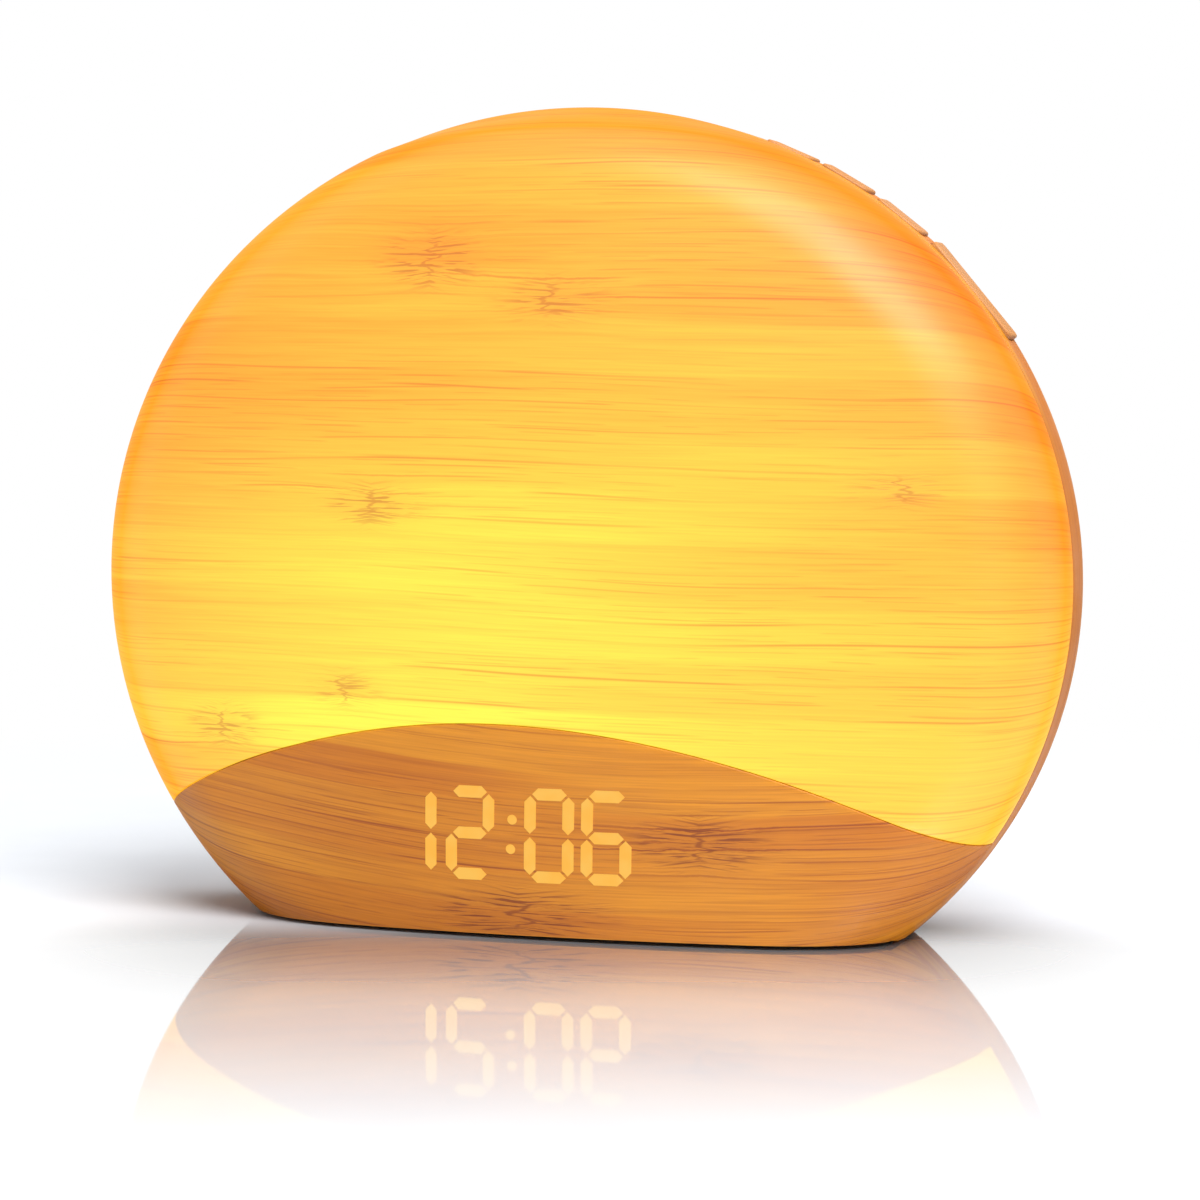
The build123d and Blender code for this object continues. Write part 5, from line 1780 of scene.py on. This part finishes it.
@dataclass(frozen=True)
class RearOpenings:
    """Grille slots, sockets, screw recesses and the cell bay of the rear cover."""

    form: Pebble = PEBBLE
    speaker_z: float = 92.0
    grille_radius: float = 16.0
    grille_pitch: float = 4.0
    grille_rows: int = 7
    slot_width: float = 2.0
    slot_spacing: float = 0.8
    slot_flat: float = 0.01
    cell: Pair = (48.0, 46.0)
    door_side: float = 27.0
    door_gap: float = 0.25
    door_corner: float = 3.0
    door_edge: float = 0.3
    door_spacing: float = 0.8
    outline_spacing: float = 0.9
    notch_depth: float = 0.9
    notch_reach: Pair = (3.2, 4.2)
    bay_floor: float = 19.43
    bay_wall: float = 1.2
    pocket_lip: float = 1.0
    screw_angles: tuple[float, ...] = (78.0, 130.0, -78.0, -130.0)
    screw_inset: float = 9.0
    recess_radius: float = 2.6
    recess_points: int = 40
    recess_floor: float = 17.0
    recess_wall: float = 0.6
    sockets: tuple[Opening, ...] = (Opening((-24.0, 10.2), (9.5, 3.8), 1.55),
                                    Opening((22.0, 11.5), (13.8, 6.4), 0.6))
    socket_spacing: float = 0.7

    def to_chart(self, loop: Array) -> Array:
        """Puts an (x, z) outline on the rear chart."""
        return self.form.chart_of(loop[:, 0], loop[:, 1], False)

    def grille(self) -> list[Array]:
        """Slots with round ends that fill a circle.

        Returns:
            (x, z) outlines.
        """
        slots = []
        for row in range(self.grille_rows):
            dz = (row - (self.grille_rows - 1) / 2.0) * self.grille_pitch
            length = 2.0 * np.sqrt(self.grille_radius**2 - dz**2)
            loop = rounded_rectangle((0.0, self.speaker_z + dz), (length, self.slot_width),
                                     self.slot_width / 2.0 - self.slot_flat)
            slots.append(resample(loop, self.slot_spacing))
        return slots

    def recesses(self) -> list[Array]:
        """Round screw recesses, set in from the rim.

        Returns:
            (x, z) outlines.
        """
        loops = []
        high, wide = self.form.half_height, self.form.half_width
        for turn in np.radians(self.screw_angles):
            out = np.array([high * np.sin(turn), wide * np.cos(turn)])
            rim = np.array([wide * np.sin(turn), self.form.centre_z + high * np.cos(turn)])
            x, z = rim - self.screw_inset * out / np.linalg.norm(out)
            loops.append(ring_of_points((x, z), self.recess_radius, self.recess_points))
        return loops

    def socket_loops(self) -> list[Array]:
        """Openings round the two sockets, as (x, z) outlines."""
        return [resample(rounded_rectangle(opening.centre, opening.size, opening.corner),
                         self.socket_spacing) for opening in self.sockets]

    def door_outline(self, gap: float = 0.0) -> Array:
        """Rounded square of the cell door or of its bay.

        Args:
            gap: How far it lies outside the door.

        Returns:
            (x, z) outline.
        """
        side = self.door_side + 2.0 * gap
        loop = rounded_rectangle(self.cell, (side, side), self.door_corner + gap)
        return resample(loop, self.outline_spacing)

    def holes(self) -> list[Array]:
        """All openings on the rear chart, as (p, q) outlines."""
        loops = self.grille() + self.recesses() + self.socket_loops()
        return [self.to_chart(loop) for loop in loops + [self.door_outline(self.door_gap)]]

    def pockets(self) -> list[Surface]:
        """Walls and floors of the screw recesses and of the cell bay.

        Returns:
            Surfaces.
        """
        plans = [(loop, self.recess_floor, self.recess_wall) for loop in self.recesses()]
        plans.append((self.door_outline(self.door_gap), self.bay_floor, self.bay_wall))
        return [pocket(loop, self.form.skin_depth(loop, False) - self.pocket_lip, floor, wall)
                for loop, floor, wall in plans]

    def door(self, grain: GrainField) -> Surface:
        """Cell door with a shallow finger notch at its upper edge.

        Args:
            grain: Course of the grain.

        Returns:
            Its surface.
        """
        loop = self.to_chart(self.door_outline())
        surface = TrimmedSheet(False, [loop], [self.door_edge], self.door_spacing).build(grain)
        outer = surface.points[:len(surface.points) // 2]
        reach = np.hypot(outer[:, 0] - self.cell[0],
                         outer[:, 2] - (self.cell[1] + self.door_side / 2.0))
        outer[:, 1] -= self.notch_depth * (1.0 - smoothstep(reach, *self.notch_reach))
        return surface


@dataclass
class Clock:
    """Puts the looks on the frame."""

    frame: dict
    materials: dict[str, bpy.types.Material] = field(default_factory=dict)

    def make_materials(self) -> None:
        """Makes one material per finish."""
        self.materials = {finish.name: finish.make() for finish in FINISHES}

    def dress_frame(self) -> None:
        """Gives every carried-over node its slot's finish."""
        for part in self.frame["record"]["subparts"]:
            node = self.frame["nodes"][part["node"]]
            node.data.materials.clear()
            node.data.materials.append(self.materials[part["material_slot"]])

    def add(self, surface: Surface, name: str, slot: str, body: str, *nodes: str) -> None:
        """Adds one piece that rides on a body.

        Args:
            surface: Its shape.
            name: Name of the piece.
            slot: Material slot.
            body: Body that it rides on.
            *nodes: Nodes that it stands for.
        """
        made = surface.mesh_object(name)
        made.data.materials.append(self.materials[slot])
        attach(made, body)
        if nodes:
            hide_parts(*nodes)
        LOG.info("%s: %d faces", name, len(made.data.polygons))

    def build(self) -> None:
        """Builds shells, door, keys and digits."""
        self.make_materials()
        self.dress_frame()
        shells, rear = Shells(), RearOpenings()
        slots = [key.slot(side) for key in KEYS for side in (1, -1)]
        self.add(shells.panel(), "lit_panel", "opal_panel", CLOCK_BODY, "diffuser_panel")
        self.add(shells.housing(slots), "housing_shell", "wood_film_shell", CLOCK_BODY,
                 "main_housing")
        self.add(shells.cover(rear.holes(), rear.pockets()), "cover_shell", "wood_film_shell",
                 CLOCK_BODY, "rear_cover")
        self.add(rear.door(shells.dark_grain), "cell_door_shell", "wood_film_shell",
                 "cell_door", "battery_door")
        for side, label in ((1, "right"), (-1, "left")):
            for number, key in enumerate(KEYS, 1):
                self.add(key.surface(side), f"key_cap_{label}_{number}", "wood_film_key",
                         f"{label}_key_{number}", f"key_{label}_{number}")
        self.add(Readout().surface(), "lit_digits", "digits", CLOCK_BODY)


# ---------------------------------------------------------------- studio
@dataclass(frozen=True)
class Softbox:
    """Rectangular light that looks at the clock's lower half."""

    name: str
    place: Triple
    size: Pair
    watts: float
    mirrored: bool = True
    aim: Triple = (0.0, 0.0, 0.07)

    def make(self) -> bpy.types.Object:
        """Adds the light.

        Returns:
            The light object.
        """
        lamp = bpy.data.lights.new(self.name, "AREA")
        lamp.shape = "RECTANGLE"
        lamp.size, lamp.size_y = self.size
        lamp.energy = self.watts
        made = linked(self.name, lamp)
        made.location = self.place
        away = Vector(self.place) - Vector(self.aim)
        made.rotation_euler = away.to_track_quat("Z", "Y").to_euler()
        made.visible_glossy = self.mirrored
        return made


@dataclass(frozen=True)
class Floor:
    """Pale floor with a mirror image and a painted shadow in front of the clock, plain white
    farther out.

    Toward and aside are the floor's directions to the camera and to the right of it.
    """

    half_side: float = 4.0
    toward: Pair = (0.309, -0.951)
    aside: Pair = (0.951, 0.309)
    tones: tuple[Rgba, Rgba] = ((0.705, 0.735, 0.775, 1.0), (0.72, 0.75, 0.79, 1.0))
    roughness: float = 0.9
    cloud_rate: float = 40.0
    mirror_start: float = 0.022
    mirror_length: float = 0.175
    mirror_rise: Rgba = (-0.010, 0.034, 0.0, 0.64)
    mirror_roughness: float = 0.03
    mirror_tint: Rgba = (0.97, 0.97, 0.97, 1.0)
    # painted shadow in front of the clock: where it starts, how it fades towards the camera and to
    # the sides
    shade_rise: Pair = (-0.020, 0.022)
    shade_fall: Rgba = (0.018, 0.095, 0.66, 0.20)
    shade_sides: Rgba = (0.050, 0.120, 1.0, 0.0)
    white_from: Pair = (0.12, 0.40)

    def along(self, graph: Graph, direction: Pair) -> Socket:
        """Place on the floor measured along a direction, in metres."""
        x, y, _ = graph.split(graph.object_map())
        return graph.math("ADD", graph.times(x, direction[0]), graph.times(y, direction[1]))

    def mirror_share(self, graph: Graph, toward: Socket) -> Socket:
        """Strength of the mirror image, which fades towards the camera.

        Args:
            graph: Material to build in.
            toward: Distance towards the camera.

        Returns:
            Share from 0 to 1.
        """
        near = graph.math("MAXIMUM", graph.math("SUBTRACT", toward, self.mirror_start), 0.0)
        share = graph.math("DIVIDE", near, self.mirror_length, True)
        fade = graph.math("SUBTRACT", 1.0, graph.times(share, share))
        return graph.times(fade, graph.spread(toward, *self.mirror_rise))

    def shade(self, graph: Graph, toward: Socket) -> Socket:
        """Painted shadow: how much the floor's colour darkens in front of the clock, under the
        mirror image.

        Args:
            graph: Material to build in.
            toward: Distance towards the camera.

        Returns:
            Share from 0 to 1.
        """
        aside = graph.math("ABSOLUTE", self.along(graph, self.aside))
        depth = graph.times(graph.spread(toward, *self.shade_fall),
                            graph.spread(aside, *self.shade_sides))
        return graph.times(graph.spread(toward, *self.shade_rise), depth)

    def material(self, ambient: float) -> bpy.types.Material:
        """Builds the floor's material.

        Args:
            ambient: Strength of the far floor as a light.

        Returns:
            The material.
        """
        graph = MaterialGraph("floor")
        toward = self.along(graph, self.toward)
        cloud = graph.noise(graph.object_map(), FINE, scale=self.cloud_rate)
        pale = graph.blend(graph.spread(cloud, *MIDDLE), *self.tones)
        # painted shadow: the floor's base colour darkens towards black in front of the clock
        graph.set(Base_Color=graph.blend(self.shade(graph, toward), pale, BLACK),
                  Roughness=self.roughness, Specular_IOR_Level=0.0)
        gloss = graph.node("BsdfGlossy", {"Roughness": self.mirror_roughness,
                                          "Color": self.mirror_tint})
        surface = graph.mix_shaders(self.mirror_share(graph, toward), graph.shader.outputs[0],
                                    gloss.outputs[0])
        strength = graph.spread(graph.seen_by("Glossy"), 0.0, 1.0, ambient, 1.0)
        white = graph.node("Emission", {"Color": WHITE, "Strength": strength})
        reach = graph.node("VectorMath", {0: graph.object_map()}, operation="LENGTH")
        far = graph.spread(reach.outputs["Value"], *self.white_from)
        graph.feed(graph.output.inputs["Surface"],
                   graph.mix_shaders(far, surface, white.outputs[0]))
        return graph.material

    def make(self, ambient: float) -> bpy.types.Object:
        """Adds the floor.

        Args:
            ambient: Strength of the far floor as a light.

        Returns:
            The floor object.
        """
        mesh = bpy.data.meshes.new("floor")
        corners = [(sx * self.half_side, sy * self.half_side, 0.0)
                   for sx, sy in ((-1, -1), (1, -1), (1, 1), (-1, 1))]
        mesh.from_pydata(corners, [], [(0, 1, 2, 3)])
        mesh.materials.append(self.material(ambient))
        return linked("floor", mesh)


@dataclass(frozen=True)
class Studio:
    """Pale floor, soft lights, plain white surroundings and the camera."""

    camera_place: Triple = (0.20086, -0.61819, 0.10225)
    camera_turn: float = 18.0
    camera_dip: float = 3.549
    camera_roll: float = 0.092
    lens: float = 102.56
    sensor: float = 36.0
    shift: float = 0.0187
    clip: Pair = (0.02, 50.0)
    ambient: float = 0.34
    lights: tuple[Softbox, ...] = (
        Softbox("front_box", (0.46, -0.68, 1.06), (0.85, 0.80), 16.0),
        Softbox("side_box", (0.88, -0.29, 0.91), (0.50, 0.50), 2.1),
        Softbox("right_box", (1.00, -1.00, 0.20), (0.40, 0.60), 5.0, False),
        Softbox("top_box", (0.05, 0.0, 1.4), (1.2, 1.2), 14.0, False),
    )

    def camera(self) -> None:
        """Adds the camera and makes it the scene's."""
        data = bpy.data.cameras.new("camera")
        data.lens, data.sensor_width, data.shift_x = self.lens, self.sensor, self.shift
        data.clip_start, data.clip_end = self.clip
        made = linked("camera", data)
        turn = Matrix.Rotation(np.radians(self.camera_turn), 4, "Z")
        dip = Matrix.Rotation(np.radians(90.0 - self.camera_dip), 4, "X")
        roll = Matrix.Rotation(np.radians(self.camera_roll), 4, "Z")
        made.matrix_world = Matrix.Translation(Vector(self.camera_place)) @ turn @ dip @ roll
        bpy.context.scene.camera = made

    def world(self) -> None:
        """White where it is seen or mirrored, softer where it lights the clock."""
        world = bpy.data.worlds.new("surroundings")
        world.use_nodes = True
        bpy.context.scene.world = world
        graph = Graph(world.node_tree)
        soft, white = (graph.node("Background", {"Color": WHITE, "Strength": strength})
                       for strength in (self.ambient, 1.0))
        surface = graph.mix_shaders(graph.seen_by("Glossy", "Transmission"), soft.outputs[0],
                                    white.outputs[0])
        graph.node("OutputWorld", {"Surface": surface})

    def build(self) -> None:
        """Adds floor, lights, surroundings and camera."""
        floor = Floor().make(self.ambient)
        [light.make() for light in self.lights]
        self.world()
        self.camera()
        bpy.context.scene.view_settings.view_transform = "Standard"


def main() -> None:
    """Builds the dressed clock in its studio."""
    logging.basicConfig(level=logging.INFO, format="%(name)s %(message)s")
    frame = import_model()
    clock = Clock(frame)
    clock.build()
    Studio().build()


if __name__ == "__main__":
    main()
